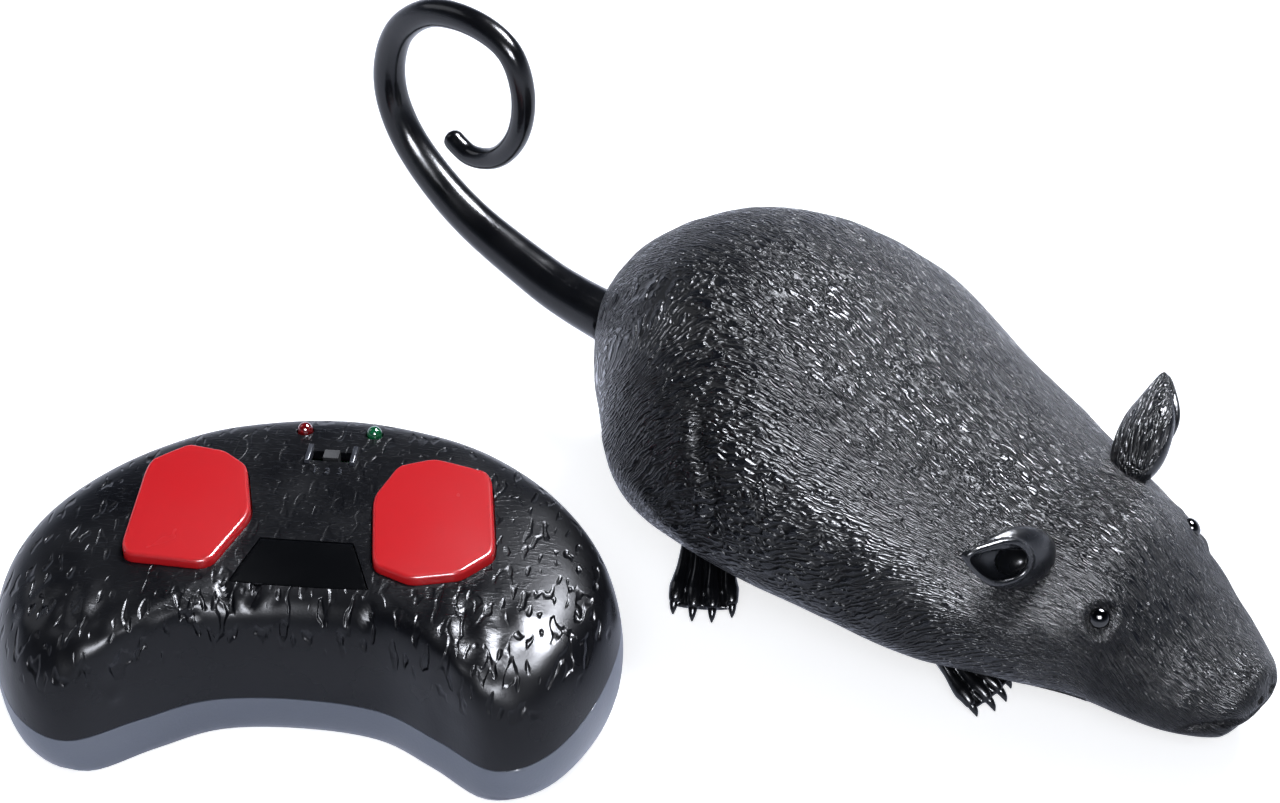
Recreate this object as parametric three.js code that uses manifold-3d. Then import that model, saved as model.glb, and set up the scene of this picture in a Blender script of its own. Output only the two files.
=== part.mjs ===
// A remote controlled toy rat and its infrared handset, each an assembly of its separate pieces.
// Lengths are millimetres. X runs from the rump to the nose, Y to the rat's left and Z up.

import * as THREE from 'three';
import { mergeVertices } from 'three/addons/utils/BufferGeometryUtils.js';
import Module from 'manifold-3d';

const wasm = await Module();
wasm.setup();

// Fits and facets
const GAP = 0.3;
const OVERRUN = 3;
const WELD = 0.0005;
const FACING_STEP = 0.01;
const LARGE_SIDES = 16;
const CORNER_SEGMENTS = 3;
const EDGE_SEGMENTS = 2;
const ROUND_SIDES = 12;
const SMALL_SIDES = 8;

// Rat body
const BODY_LENGTH = 182;
const BODY_WIDTH = 94;
const BODY_HEIGHT = 66;
const BELLY_CLEARANCE = 7;
const BODY_WALL = 2.2;
const BODY_AROUND = 28;
const BODY_ALONG = 22;
const CAVITY_AROUND = 16;
const CAVITY_ALONG = 14;
const BACK_SQUARENESS = 2.1;
const BELLY_SQUARENESS = 2.4;
const WAIST_SHARE = 0.4;
const PARTING_HEIGHT = 14;
const PAN_REACH = 60;
const stationShares = [0, 0.02, 0.09, 0.21, 0.37, 0.54, 0.68, 0.81, 0.9, 0.96, 0.99, 1];
const widthShares = [0, 0.2, 0.5, 0.89, 1.03, 0.9, 0.75, 0.54, 0.41, 0.29, 0.16, 0];
const backShares = [0.35, 0.56, 0.83, 0.99, 0.94, 0.74, 0.6, 0.56, 0.34, 0.26, 0.24, 0.13];
const bellyShares = [0.35, 0.15, 0.04, 0.015, 0.01, 0, 0, 0, 0, 0.01, 0.04, 0.13];

// Thigh and shoulder swellings of the body, and its mouth
const SWELLING = 2;
const SWELLING_SPREAD = 15;
const THIGH_AHEAD = -46;
const THIGH_HEIGHT = 26;
const SHOULDER_AHEAD = 22;
const SHOULDER_HEIGHT = 22;
const MOUTH_LENGTH = 17;
const MOUTH_OPENING = 1.4;
const MOUTH_DEPTH = 1.2;
const MOUTH_HEIGHT = 13.5;
const MOUTH_SLOPE = 0.12;

// Ears and eyes
const EAR_LENGTH = 28;
const EAR_WIDTH = 14;
const EAR_THICKNESS = 8;
const EAR_WALL = 1.3;
const EAR_SINK = 2.5;
const EAR_AROUND = 10;
const EAR_ALONG = 8;
const EAR_STEM_RADIUS = 2;
const EAR_STEM_LENGTH = 6;
const EAR_BARB = 0.8;
const EAR_STATION_SHARE = 0.585;
const EAR_TURN_SHARE = 0.155;
const EAR_FLARE_SHARE = 0.25;
const EAR_ROOT_SHARE = 0.55;
const EAR_OPENING_SHARE = 0.5;
const earPoint = new THREE.Vector3(-0.26, -0.85, 0.48);
const rightEarMouth = new THREE.Vector3(0.965, -0.26, 0.02);
const leftEarMouth = new THREE.Vector3(0.455, -0.52, -0.72);
const EYE_RADIUS = 2.3;
const EYE_PROUD = 0.3;
const EYE_STEM_RADIUS = 0.9;
const EYE_STEM_LENGTH = 5;
const EYE_STATION_SHARE = 0.65;
const EYE_TURN_SHARE = 0.11;

// Tail
const TAIL_REACH = 70.5;
const TAIL_RISE = 66.5;
const TAIL_ROOT_HEIGHT = 29.8;
const TAIL_ROOT_RADIUS = 6.3;
const TAIL_TIP_RADIUS = 2.6;
const TAIL_TAPER = 1.6;
const TAIL_STEPS = 36;
const TAIL_SIDES = 8;
const TAIL_NECK_RADIUS = 3.6;
const TAIL_NECK_LENGTH = 8.5;
const TAIL_BARB_RADIUS = 4.8;
const TAIL_BARB_LENGTH = 2.5;
const tailShares = [
  [0, 0], [0.16, 0.01], [0.32, 0.04], [0.64, 0.147], [0.867, 0.308], [0.979, 0.481], [0.993, 0.662],
  [0.923, 0.839], [0.769, 0.967], [0.573, 1], [0.42, 0.947], [0.364, 0.797], [0.392, 0.621],
  [0.49, 0.481], [0.622, 0.429], [0.727, 0.481],
];

// Feet
const SOLE_HEIGHT = 0.8;
const FOOT_PEG_RADIUS = 1.5;
const FOOT_PEG_TOP = 13.7;
const ANKLE_TOP = 15;
const REAR_FOOT_LENGTH = 21;
const REAR_FOOT_WIDTH = 13;
const REAR_FOOT_AHEAD = -38.3;
const REAR_FOOT_ASIDE = -26.3;
const REAR_FOOT_ANGLE = 55;
const FRONT_FOOT_LENGTH = 18;
const FRONT_FOOT_WIDTH = 10;
const FRONT_FOOT_AHEAD = 23;
const FRONT_FOOT_ASIDE = -22;
const FRONT_FOOT_ANGLE = 14;
const TOE_COUNT = 4;
const TOE_SIDES = 5;
const TOE_STEPS = 3;
const CLAW_RADIUS = 0.2;
const ANKLE_RADIUS_SHARE = 0.28;
const ANKLE_SPREAD_SHARE = 1.5;
const ANKLE_REACH_SHARE = 0.3;
const ANKLE_HEIGHT_SHARE = 0.6;
const PALM_HEIGHT_SHARE = 0.27;
const PALM_REACH_SHARE = 0.42;
const PALM_LENGTH_SHARE = 0.3;
const PALM_WIDTH_SHARE = 0.42;
const PALM_RISE_SHARE = 0.62;
const PEG_RISE_SHARE = 0.9;
const TOE_RADIUS_SHARE = 0.13;
const TOE_SHORTENING_SHARE = 0.09;
const CLAW_START_SHARE = 0.7;
const CLAW_TAPER_SHARE = 0.45;
// Reach, spread and rise of a toe at its root, its middle and its knuckle
const toeShares = [[0.46, 0.55, 0.62], [0.68, 0.82, 0.8], [0.86, 0.95, 0.45]];

// Drive train
const AXLE_RADIUS = 1.5;
const WHEEL_RADIUS = 12.5;
const WHEEL_WIDTH = 5.6;
const WHEEL_TRACK = 36;
const TYRE_THICKNESS = 2.2;
const TYRE_CROWN = 0.5;
const RIM_THICKNESS = 1.6;
const HUB_THICKNESS = 2;
const WEB_THICKNESS = 1.6;
const WHEEL_SLOT_CLEARANCE = 1.2;
const GEAR_MODULE = 0.6;
const ADDENDUM_SHARE = 0.85;
const DEDENDUM_SHARE = 1.15;
const BACKLASH_SHARE = 0.28;
const PRESSURE_ANGLE = 20;
const DRIVE_TEETH = 24;
const SMALL_TEETH = 10;
const LARGE_TEETH = 26;
const PINION_TEETH = 10;
const DRIVE_GEAR_WIDTH = 3;
const LARGE_GEAR_WIDTH = 2.8;
const PINION_WIDTH = 3.8;
const GEAR_HUB_RADIUS = 3.2;
const GEAR_PIN_RADIUS = 1;
const GEARBOX_WALL = 1.2;
const GEARBOX_PLATE = 1.6;
const GEARBOX_CLEARANCE = 0.5;
const GEARBOX_DEPTH = 12;
const GEARBOX_LUG_LENGTH = 5.5;
const GEARBOX_LUG_THICKNESS = 2;
const GEARBOX_LUG_WIDTH = 8;
const GEARBOX_LUG_HEIGHT = 16;
const GEARBOX_RIGHT_FACE = -10;
const GEARBOX_BAY_CLEARANCE = 1.1;

// Motor
const MOTOR_RADIUS = 10;
const MOTOR_HEIGHT = 15;
const MOTOR_LENGTH = 25;
const MOTOR_CAP_LENGTH = 3;
const MOTOR_CAP_STEP = 0.8;
const MOTOR_BOSS_RADIUS = 3;
const MOTOR_BOSS_LENGTH = 1.4;
const MOTOR_SHAFT_RADIUS = 1;
const MOTOR_SHAFT_DEPTH = 6;

// Caster
const CASTER_BAY_CLEARANCE = 1.6;
const CASTER_TRAIL = 3.5;
const CASTER_RADIUS = 5.5;
const CASTER_WIDTH = 4;
const CASTER_AXLE_RADIUS = 0.8;
const CASTER_LEG_THICKNESS = 1.3;
const CASTER_LEG_WIDTH = 6.4;
const CASTER_FOOT_RADIUS = 2.1;
const CASTER_CROWN_RADIUS = 6;
const CASTER_CROWN_THICKNESS = 1.5;
const CASTER_CROWN_HEIGHT = 12;
const CASTER_STEM_RADIUS = 2;
const CASTER_BARB = 0.6;
const CASTER_BARB_LENGTH = 1.8;
const CASTER_CUP_RADIUS = 10;
const CASTER_CUP_WALL = 1.3;
const CASTER_CUP_ROOF = 1.5;
const CASTER_SWING_ANGLE = 38;
const CASTER_LUG_REACH = 2;
const CASTER_LUG_WIDTH = 1.6;
const CASTER_STOP_HEIGHT = 1.3;

// Cells and their contacts, alike in the rat and in the handset
const CELL_RADIUS = 7.2;
const CELL_LENGTH = 50.2;
const CELL_NUB_RADIUS = 2.7;
const CELL_NUB_LENGTH = 1.1;
const CONTACT_THICKNESS = 0.5;
const CONTACT_WIDTH = 11;
const CONTACT_HEIGHT = 10;
const SPRING_LENGTH = 3;
const SPRING_ROOT_RADIUS = 3.6;
const SPRING_TIP_RADIUS = 2.4;
const BAY_WALL = 1.4;
const CRADLE_WIDTH = 2;
const CRADLE_DROP = 4;
const LUG_REACH = 7;
const LUG_WIDTH = 8;
const TONGUE_LENGTH = 3.2;
const TONGUE_WIDTH = 20;
const TONGUE_THICKNESS = 1.4;
const RAT_BAY_AHEAD = -4;
const RAT_CELL_HEIGHT = 18.3;
const HANDSET_CELL_HEIGHT = 10.4;
const HANDSET_BAY_BACK = 5.5;
const RAT_LUG_SEAT = 12.4;
const RAT_TONGUE_HEIGHT = 11.2;
const HANDSET_LUG_SEAT = 4.8;
const PAN_TONGUE_HEIGHT = 10;
const PAN_TONGUE_WIDTH = 10;

// Screws
const SCREW_RADIUS = 1.2;
const SCREW_HEAD_RADIUS = 2.3;
const SCREW_HEAD_LENGTH = 1.4;
const SCREW_HEAD_TOP_RADIUS = 1.85;
const SCREW_LENGTH = 9;
const BOSS_WALL = 1.6;
const PAN_SCREW_CLEARANCE = 1.5;
const PAN_SCREW_ASIDE = 12;
const PAN_SCREW_SEAT = 12.6;
const RAT_DOOR_SCREW_SEAT = 10.6;
const HANDSET_DOOR_SCREW_SEAT = 2.8;

// Rat electronics and power switch
const BOARD_THICKNESS = 1.6;
const RAT_BOARD_LENGTH = 46;
const CHIP_LENGTH = 10;
const CHIP_WIDTH = 6;
const CHIP_HEIGHT = 1.8;
const CHIP_SETBACK = 5;
const RECEIVER_WIDTH = 6;
const RECEIVER_HEIGHT = 7;
const RECEIVER_DEPTH = 4.4;
const RECEIVER_DOME = 2.6;
const RECEIVER_AHEAD = 8;
const SWITCH_CLEARANCE = 0.7;
const SWITCH_WIDTH = 6;
const SWITCH_LENGTH = 13;
const SWITCH_HEIGHT = 5.5;
const SWITCH_LIFT = 4.45;
const SWITCH_STEM = 2.6;
const SWITCH_TRAVEL = 3;
const SWITCH_KNOB_DROP = 1.2;
const SWITCH_KNOB_LENGTH = 3.6;

// Handset
const HANDSET_AHEAD = -87.5;
const HANDSET_ASIDE = -101.4;
const HANDSET_TURN_ANGLE = 34.5;
const HANDSET_HALF = 68;
const HANDSET_HEIGHT = 37;
const HANDSET_WALL = 2.2;
const HANDSET_AROUND = 36;
const HANDSET_CAVITY_AROUND = 20;
const SEAM_HEIGHT = 11;
const SEAM_RISE = 9;
const SEAM_LEVEL_SHARE = 0.6;
const SEAM_BEND_SHARE = 0.75;
const OUTLINE_TENSION = 0.5;
const handsetShares = [
  [0, -0.46], [0.27, -0.49], [0.47, -0.6], [0.66, -0.72], [0.82, -0.67], [0.94, -0.5], [1, -0.28],
  [0.985, -0.07], [0.9, 0.13], [0.735, 0.33], [0.51, 0.49], [0.255, 0.575], [0, 0.605],
];
const crownShares = [
  [0, 1], [0.35, 0.998], [0.62, 0.985], [0.78, 0.955], [0.875, 0.895], [0.94, 0.79], [0.98, 0.62], [1, 0.38],
  [0.992, 0.17], [0.965, 0.045], [0.93, 0], [0, 0],
];

// Handset controls
const BUTTON_PROUD = 1.9;
const BUTTON_EDGE = 1.2;
const BUTTON_TRAVEL = 1.5;
const BUTTON_FLANGE = 1.4;
const BUTTON_FLANGE_THICKNESS = 1.2;
const BUTTON_FLANGE_DROP = 3.8;
const BUTTON_CORNER_SHARE = 0.18;
const BUTTON_SPREAD_SHARE = 0.39;
const BUTTON_POST_RADIUS = 2.6;
const leftButtonShares = [
  [-0.582, 0.172], [-0.567, -0.278], [-0.278, -0.299], [-0.194, -0.052], [-0.257, 0.179],
  [-0.343, 0.246], [-0.47, 0.269],
];
const rightButtonShares = [
  [0.537, 0.218], [0.343, 0.272], [0.23, 0.224], [0.176, 0.06], [0.23, -0.254], [0.358, -0.31],
  [0.507, -0.272], [0.603, -0.164],
];
const DOME_RADIUS = 4.6;
const DOME_TOP_RADIUS = 2.8;
const DOME_WALL = 0.9;
const PANEL_DEPTH = 0.5;
const panelShares = [[-0.149, -0.137], [-0.209, -0.336], [0.231, -0.336], [0.149, -0.137]];
const HANDSET_BOARD_HEIGHT = 24.8;
const handsetBoardShares = [
  [-0.627, -0.179], [0.627, -0.179], [0.627, 0.209], [0.358, 0.455], [-0.358, 0.455], [-0.627, 0.209],
];
const POST_RADIUS = 2.4;
const postShares = [[-0.537, -0.118], [-0.537, 0.176], [0.537, -0.118], [0.537, 0.176]];
const LED_RADIUS = 1.5;
const LED_PROUD = 1.6;
const LED_LENGTH = 6;
const LED_SURFACE_DROP = 1.3;
const LED_FLANGE = 0.4;
const LED_FLANGE_THICKNESS = 1;
const LED_LEG = 0.5;
const ledShares = [[-0.116, 0.418], [0.116, 0.418]];
const EMITTER_RADIUS = 2.5;
const EMITTER_LENGTH = 10.5;
const EMITTER_SIDE_SHARE = -0.493;
const EMITTER_BACK_SHARE = 0.456;
const CHANNEL_BACK_SHARE = 0.279;
const CHANNEL_SLOT_LENGTH = 11;
const CHANNEL_SLOT_WIDTH = 3.4;
const CHANNEL_TRAVEL = 2.5;
const CHANNEL_KNOB_LENGTH = 3.4;
const CHANNEL_KNOB_PROUD = 0.6;
const CHANNEL_BODY_LENGTH = 14;
const CHANNEL_BODY_WIDTH = 6;
const CHANNEL_BODY_HEIGHT = 5;
const handsetScrewShares = [[-0.735, -0.294], [0.735, -0.294]];
const HANDSET_SCREW_SEAT = 5;

// Finishes
const finish = (color, roughness, metalness) =>
  new THREE.MeshStandardMaterial({ color, roughness, metalness });
const finishes = {
  fur: finish(0x1e2026, 0.38, 0),
  blackShell: finish(0x17191d, 0.3, 0),
  blackPan: finish(0x15161a, 0.5, 0),
  softBlack: finish(0x17181c, 0.35, 0),
  bead: finish(0x07070a, 0.05, 0),
  tyre: finish(0x1b1b1d, 0.85, 0),
  nylon: finish(0xe8e4d6, 0.5, 0),
  greyPlastic: finish(0x53565c, 0.55, 0),
  steel: finish(0xb9bcc0, 0.3, 1),
  brass: finish(0xc9a04f, 0.35, 1),
  board: finish(0x1f6b3c, 0.45, 0),
  receiver: finish(0x141216, 0.2, 0),
  cell: finish(0x3d4654, 0.35, 0.4),
  red: finish(0xdb1f26, 0.22, 0),
  redLens: finish(0x9a1218, 0.12, 0),
  greenLens: finish(0x1d7a4c, 0.12, 0),
  silicone: finish(0xd8d8d4, 0.6, 0),
};

const assembly = new THREE.Group();
const rat = new THREE.Group();
const handset = new THREE.Group();
assembly.add(rat, handset);
handset.position.set(HANDSET_AHEAD, HANDSET_ASIDE, 0);
handset.rotation.z = THREE.MathUtils.degToRad(HANDSET_TURN_ANGLE);

// Signed volume inside a closed surface, positive where its faces point out
function enclosed(geometry, corners) {
  const { position } = geometry.attributes;
  const [a, b, c] = [new THREE.Vector3(), new THREE.Vector3(), new THREE.Vector3()];
  let volume = 0;
  for (let i = 0; i < corners.length; i += 3) {
    a.fromBufferAttribute(position, corners[i]);
    b.fromBufferAttribute(position, corners[i + 1]);
    c.fromBufferAttribute(position, corners[i + 2]);
    volume += a.dot(b.cross(c)) / 6;
  }
  return volume;
}

// Solids: joining and cutting of closed geometries
function weld(geometry) {
  const bare = geometry.clone();
  bare.deleteAttribute('normal');
  bare.deleteAttribute('uv');
  const merged = mergeVertices(bare, WELD);
  const corners = merged.index.array;
  const kept = [];
  for (let i = 0; i < corners.length; i += 3) {
    const [a, b, c] = [corners[i], corners[i + 1], corners[i + 2]];
    if (a !== b && b !== c && c !== a) kept.push(a, b, c);
  }
  merged.setIndex(enclosed(merged, kept) < 0 ? kept.reverse() : kept);
  return merged;
}

function toSolid(geometry) {
  const merged = weld(geometry);
  const mesh = new wasm.Mesh({
    numProp: 3,
    vertProperties: new Float32Array(merged.attributes.position.array),
    triVerts: new Uint32Array(merged.index.array),
  });
  return new wasm.Manifold(mesh);
}

function toGeometry(solid) {
  const mesh = solid.getMesh();
  const geometry = new THREE.BufferGeometry();
  geometry.setAttribute('position', new THREE.BufferAttribute(mesh.vertProperties, mesh.numProp));
  geometry.setIndex(new THREE.BufferAttribute(mesh.triVerts, 1));
  geometry.computeVertexNormals();
  return geometry;
}

const combine = (step, first, others) => toGeometry(others.map(toSolid).reduce(step, toSolid(first)));
const join = (first, ...others) => combine((sum, next) => sum.add(next), first, others);
const cut = (first, ...others) => combine((rest, tool) => rest.subtract(tool), first, others);
const common = (first, ...others) => combine((rest, next) => rest.intersect(next), first, others);

const mirrored = (geometry) => weld(geometry.clone().scale(1, -1, 1));

function add(group, name, geometry, material) {
  const shown = weld(geometry);
  shown.computeVertexNormals();
  const mesh = new THREE.Mesh(shown, material);
  mesh.name = name;
  group.add(mesh);
}

// Plain shapes, set down where they belong
const block = (x0, x1, y0, y1, z0, z1) =>
  new THREE.BoxGeometry(x1 - x0, y1 - y0, z1 - z0).translate((x0 + x1) / 2, (y0 + y1) / 2, (z0 + z1) / 2);

const postZ = (radius, x, y, z0, z1, sides = ROUND_SIDES) =>
  new THREE.CylinderGeometry(radius, radius, z1 - z0, sides)
    .rotateX(Math.PI / 2).translate(x, y, (z0 + z1) / 2);

const rodY = (radius, x, z, y0, y1, sides = ROUND_SIDES) =>
  new THREE.CylinderGeometry(radius, radius, y1 - y0, sides).translate(x, (y0 + y1) / 2, z);

const rodX = (radius, y, z, x0, x1, sides = ROUND_SIDES) =>
  new THREE.CylinderGeometry(radius, radius, x1 - x0, sides)
    .rotateZ(-Math.PI / 2).translate((x0 + x1) / 2, y, z);

// A profile of [radius, height] points turned about the Z axis
const turnedZ = (profile, sides) =>
  new THREE.LatheGeometry(profile.map(([radius, height]) => new THREE.Vector2(radius, height)), sides)
    .rotateX(Math.PI / 2);

// The same about the Y axis
const turnedY = (profile, sides) =>
  new THREE.LatheGeometry(profile.map(([radius, height]) => new THREE.Vector2(radius, height)), sides);

// An outline in X and Z, given depth along Y from y0 to y1
const slabY = (shape, y0, y1) =>
  new THREE.ExtrudeGeometry(shape, { depth: y1 - y0, bevelEnabled: false, curveSegments: SMALL_SIDES })
    .rotateX(Math.PI / 2).translate(0, y1, 0);

// An outline in X and Y, given height from z0 to z1
const slabZ = (shape, z0, z1) =>
  new THREE.ExtrudeGeometry(shape, { depth: z1 - z0, bevelEnabled: false, curveSegments: SMALL_SIDES })
    .translate(0, 0, z0);

// A round section carried along a curve, its radius a function of the way along it
function taperedSweep(curve, radiusAt, sides, steps) {
  const geometry = new THREE.CylinderGeometry(1, 1, 1, sides, steps);
  const frames = curve.computeFrenetFrames(steps, false);
  const place = geometry.attributes.position;
  for (let i = 0; i < place.count; i += 1) {
    const step = Math.round((0.5 - place.getY(i)) * steps);
    const centre = curve.getPointAt(step / steps);
    const radius = radiusAt(step / steps);
    centre.addScaledVector(frames.normals[step], radius * place.getX(i));
    centre.addScaledVector(frames.binormals[step], radius * place.getZ(i));
    place.setXYZ(i, centre.x, centre.y, centre.z);
  }
  return geometry;
}

// Body form: sections blended from rump to nose, each rounder above its waist than below it
const bodyLine = (shares) =>
  new THREE.SplineCurve(shares.map((share, i) => new THREE.Vector2(stationShares[i], share)));
const widthLine = bodyLine(widthShares);
const backLine = bodyLine(backShares);
const bellyLine = bodyLine(bellyShares);
const swellings = [[THIGH_AHEAD, THIGH_HEIGHT], [SHOULDER_AHEAD, SHOULDER_HEIGHT]];

function bodyPoint(along, turn, inset) {
  const end = along <= 0 || along >= 1;
  const share = Math.min(1, Math.max(0, along));
  const width = widthLine.getPoint(share);
  const half = end ? 0 : Math.max(0, width.y * BODY_WIDTH / 2 - inset);
  let back = BELLY_CLEARANCE + backLine.getPoint(share).y * BODY_HEIGHT;
  let belly = BELLY_CLEARANCE + bellyLine.getPoint(share).y * BODY_HEIGHT;
  const waist = belly + WAIST_SHARE * (back - belly);
  back = end ? waist : Math.max(waist, back - inset);
  belly = end ? waist : Math.min(waist, belly + inset);
  const [across, upward] = [Math.cos(turn), Math.sin(turn)];
  const power = 2 / (upward > 0 ? BACK_SQUARENESS : BELLY_SQUARENESS);
  const reach = upward > 0 ? back - waist : waist - belly;
  const x = (width.x - 0.5) * (BODY_LENGTH - 2 * inset);
  const z = waist + reach * Math.sign(upward) * Math.abs(upward) ** power;
  let y = half * Math.sign(across) * Math.abs(across) ** power;
  for (const [ahead, height] of half > 0 ? swellings : []) {
    const offset = Math.hypot(x - ahead, z - height) / SWELLING_SPREAD;
    y += SWELLING * Math.sign(across) * Math.abs(across) * Math.exp(-offset * offset);
  }
  return new THREE.Vector3(x, y, z);
}

function bodyForm(inset, around, along) {
  const geometry = new THREE.SphereGeometry(1, around, along);
  const { position, uv } = geometry.attributes;
  for (let i = 0; i < position.count; i += 1) {
    const row = Math.round((1 - uv.getY(i)) * along) / along;
    const column = Math.round(uv.getX(i) * around) / around;
    const point = bodyPoint(row, -column * 2 * Math.PI, inset);
    position.setXYZ(i, point.x, point.y, point.z);
  }
  return geometry;
}

const outerBody = bodyForm(0, BODY_AROUND, BODY_ALONG);
const innerBody = bodyForm(BODY_WALL, CAVITY_AROUND, CAVITY_ALONG);
const midBody = bodyForm(BODY_WALL / 2, CAVITY_AROUND, CAVITY_ALONG);
const clearBody = bodyForm(-GAP, BODY_AROUND, BODY_ALONG);
const bodyWallForm = cut(outerBody, innerBody);
const halfLength = BODY_LENGTH / 2;
const halfWidth = BODY_WIDTH / 2;
const aboveBody = BELLY_CLEARANCE + BODY_HEIGHT + OVERRUN;

// Direction in which the body faces outward at a point of its form
function bodyFacing(along, turn) {
  const ahead = bodyPoint(along + FACING_STEP, turn, 0).sub(bodyPoint(along - FACING_STEP, turn, 0));
  const over = bodyPoint(along, turn + FACING_STEP, 0).sub(bodyPoint(along, turn - FACING_STEP, 0));
  return over.cross(ahead).normalize();
}

const facingPlace = (own, facing, point) =>
  new THREE.Matrix4()
    .makeRotationFromQuaternion(new THREE.Quaternion().setFromUnitVectors(own, facing))
    .setPosition(point);

// Ears: a scoop open on one side, on a barbed stem
function earForm(length, width, thickness) {
  const geometry = new THREE.SphereGeometry(1, EAR_AROUND, EAR_ALONG);
  const { position } = geometry.attributes;
  for (let i = 0; i < position.count; i += 1) {
    const [x, y, z] = [position.getX(i), position.getY(i), position.getZ(i)];
    const wide = 1 + EAR_FLARE_SHARE * y;
    const thick = 1 + EAR_ROOT_SHARE * y;
    position.setXYZ(i, (1 - y) * length / 2, x * wide * width / 2, -z * thick * thickness / 2);
  }
  return geometry;
}

const earDirection = earPoint.clone().normalize();
const earTurn = Math.PI + EAR_TURN_SHARE * 2 * Math.PI;
const earRoot = bodyPoint(EAR_STATION_SHARE, -earTurn, 0);
const earFacing = bodyFacing(EAR_STATION_SHARE, -earTurn);
const earSocket = facingPlace(new THREE.Vector3(1, 0, 0), earFacing, earRoot);

function earStem(radius, barb) {
  const shaft = rodX(radius, 0, 0, -EAR_STEM_LENGTH, EAR_WALL, SMALL_SIDES);
  const bulbEnd = EAR_BARB * 2 - EAR_STEM_LENGTH;
  const bulb = rodX(radius + barb, 0, 0, -EAR_STEM_LENGTH, bulbEnd, SMALL_SIDES);
  return (barb > 0 ? join(shaft, bulb) : shaft).applyMatrix4(earSocket);
}

// Place of an ear whose opening faces as nearly towards the given direction as its length allows
function earPlace(mouth) {
  const opening = mouth.clone().addScaledVector(earDirection, -mouth.dot(earDirection)).normalize();
  const across = opening.clone().cross(earDirection);
  return new THREE.Matrix4().makeBasis(earDirection, across, opening)
    .setPosition(earRoot.clone().addScaledVector(earDirection, -EAR_SINK));
}

function makeEar(mouth) {
  const hollow = earForm(EAR_LENGTH - 2 * EAR_WALL, EAR_WIDTH - 2 * EAR_WALL, EAR_THICKNESS)
    .translate(EAR_WALL, 0, EAR_THICKNESS * EAR_OPENING_SHARE);
  const scoop = cut(earForm(EAR_LENGTH, EAR_WIDTH, EAR_THICKNESS), hollow).applyMatrix4(earPlace(mouth));
  return join(cut(scoop, clearBody), earStem(EAR_STEM_RADIUS, EAR_BARB));
}

// Eyes: a bead on a stem, half sunk in its socket
const eyeTurn = Math.PI + EYE_TURN_SHARE * 2 * Math.PI;
const eyeFacing = bodyFacing(EYE_STATION_SHARE, -eyeTurn);
const eyeCentre = bodyPoint(EYE_STATION_SHARE, -eyeTurn, 0).addScaledVector(eyeFacing, EYE_PROUD);
const eyePlace = facingPlace(new THREE.Vector3(0, 1, 0), eyeFacing, eyeCentre);

const eyeBead = (clearance) =>
  new THREE.SphereGeometry(EYE_RADIUS + clearance, ROUND_SIDES, SMALL_SIDES).applyMatrix4(eyePlace);
const eyeStem = (clearance) =>
  rodY(EYE_STEM_RADIUS + clearance, 0, 0, -EYE_STEM_LENGTH, 0, SMALL_SIDES).applyMatrix4(eyePlace);

// Tail: a tapering curl whose neck and barb are pushed through the rump
const tailRoot = new THREE.Vector3(-halfLength - GAP, 0, TAIL_ROOT_HEIGHT);
const tailLine = new THREE.CatmullRomCurve3(
  tailShares.map(([back, up]) =>
    new THREE.Vector3(tailRoot.x - back * TAIL_REACH, 0, tailRoot.z + up * TAIL_RISE)),
  false, 'centripetal');

function tailRadius(share) {
  const radius = TAIL_TIP_RADIUS + (TAIL_ROOT_RADIUS - TAIL_TIP_RADIUS) * (1 - share) ** TAIL_TAPER;
  const left = (1 - share) * tailLine.getLength() / TAIL_TIP_RADIUS;
  return left < 1 ? radius * Math.sqrt(Math.max(TAIL_TIP_RADIUS / TAIL_REACH, 1 - (1 - left) ** 2)) : radius;
}

function makeTail() {
  const curl = cut(taperedSweep(tailLine, tailRadius, TAIL_SIDES, TAIL_STEPS), clearBody);
  const inner = tailRoot.x + TAIL_NECK_LENGTH;
  const neck = rodX(TAIL_NECK_RADIUS, 0, TAIL_ROOT_HEIGHT, tailRoot.x - OVERRUN, inner);
  const barb = rodX(TAIL_BARB_RADIUS, 0, TAIL_ROOT_HEIGHT, inner - TAIL_BARB_LENGTH, inner);
  return join(curl, neck, barb);
}

const tailHole = rodX(TAIL_NECK_RADIUS + GAP, 0, TAIL_ROOT_HEIGHT, tailRoot.x - OVERRUN,
  tailRoot.x + TAIL_NECK_LENGTH + OVERRUN);

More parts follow.
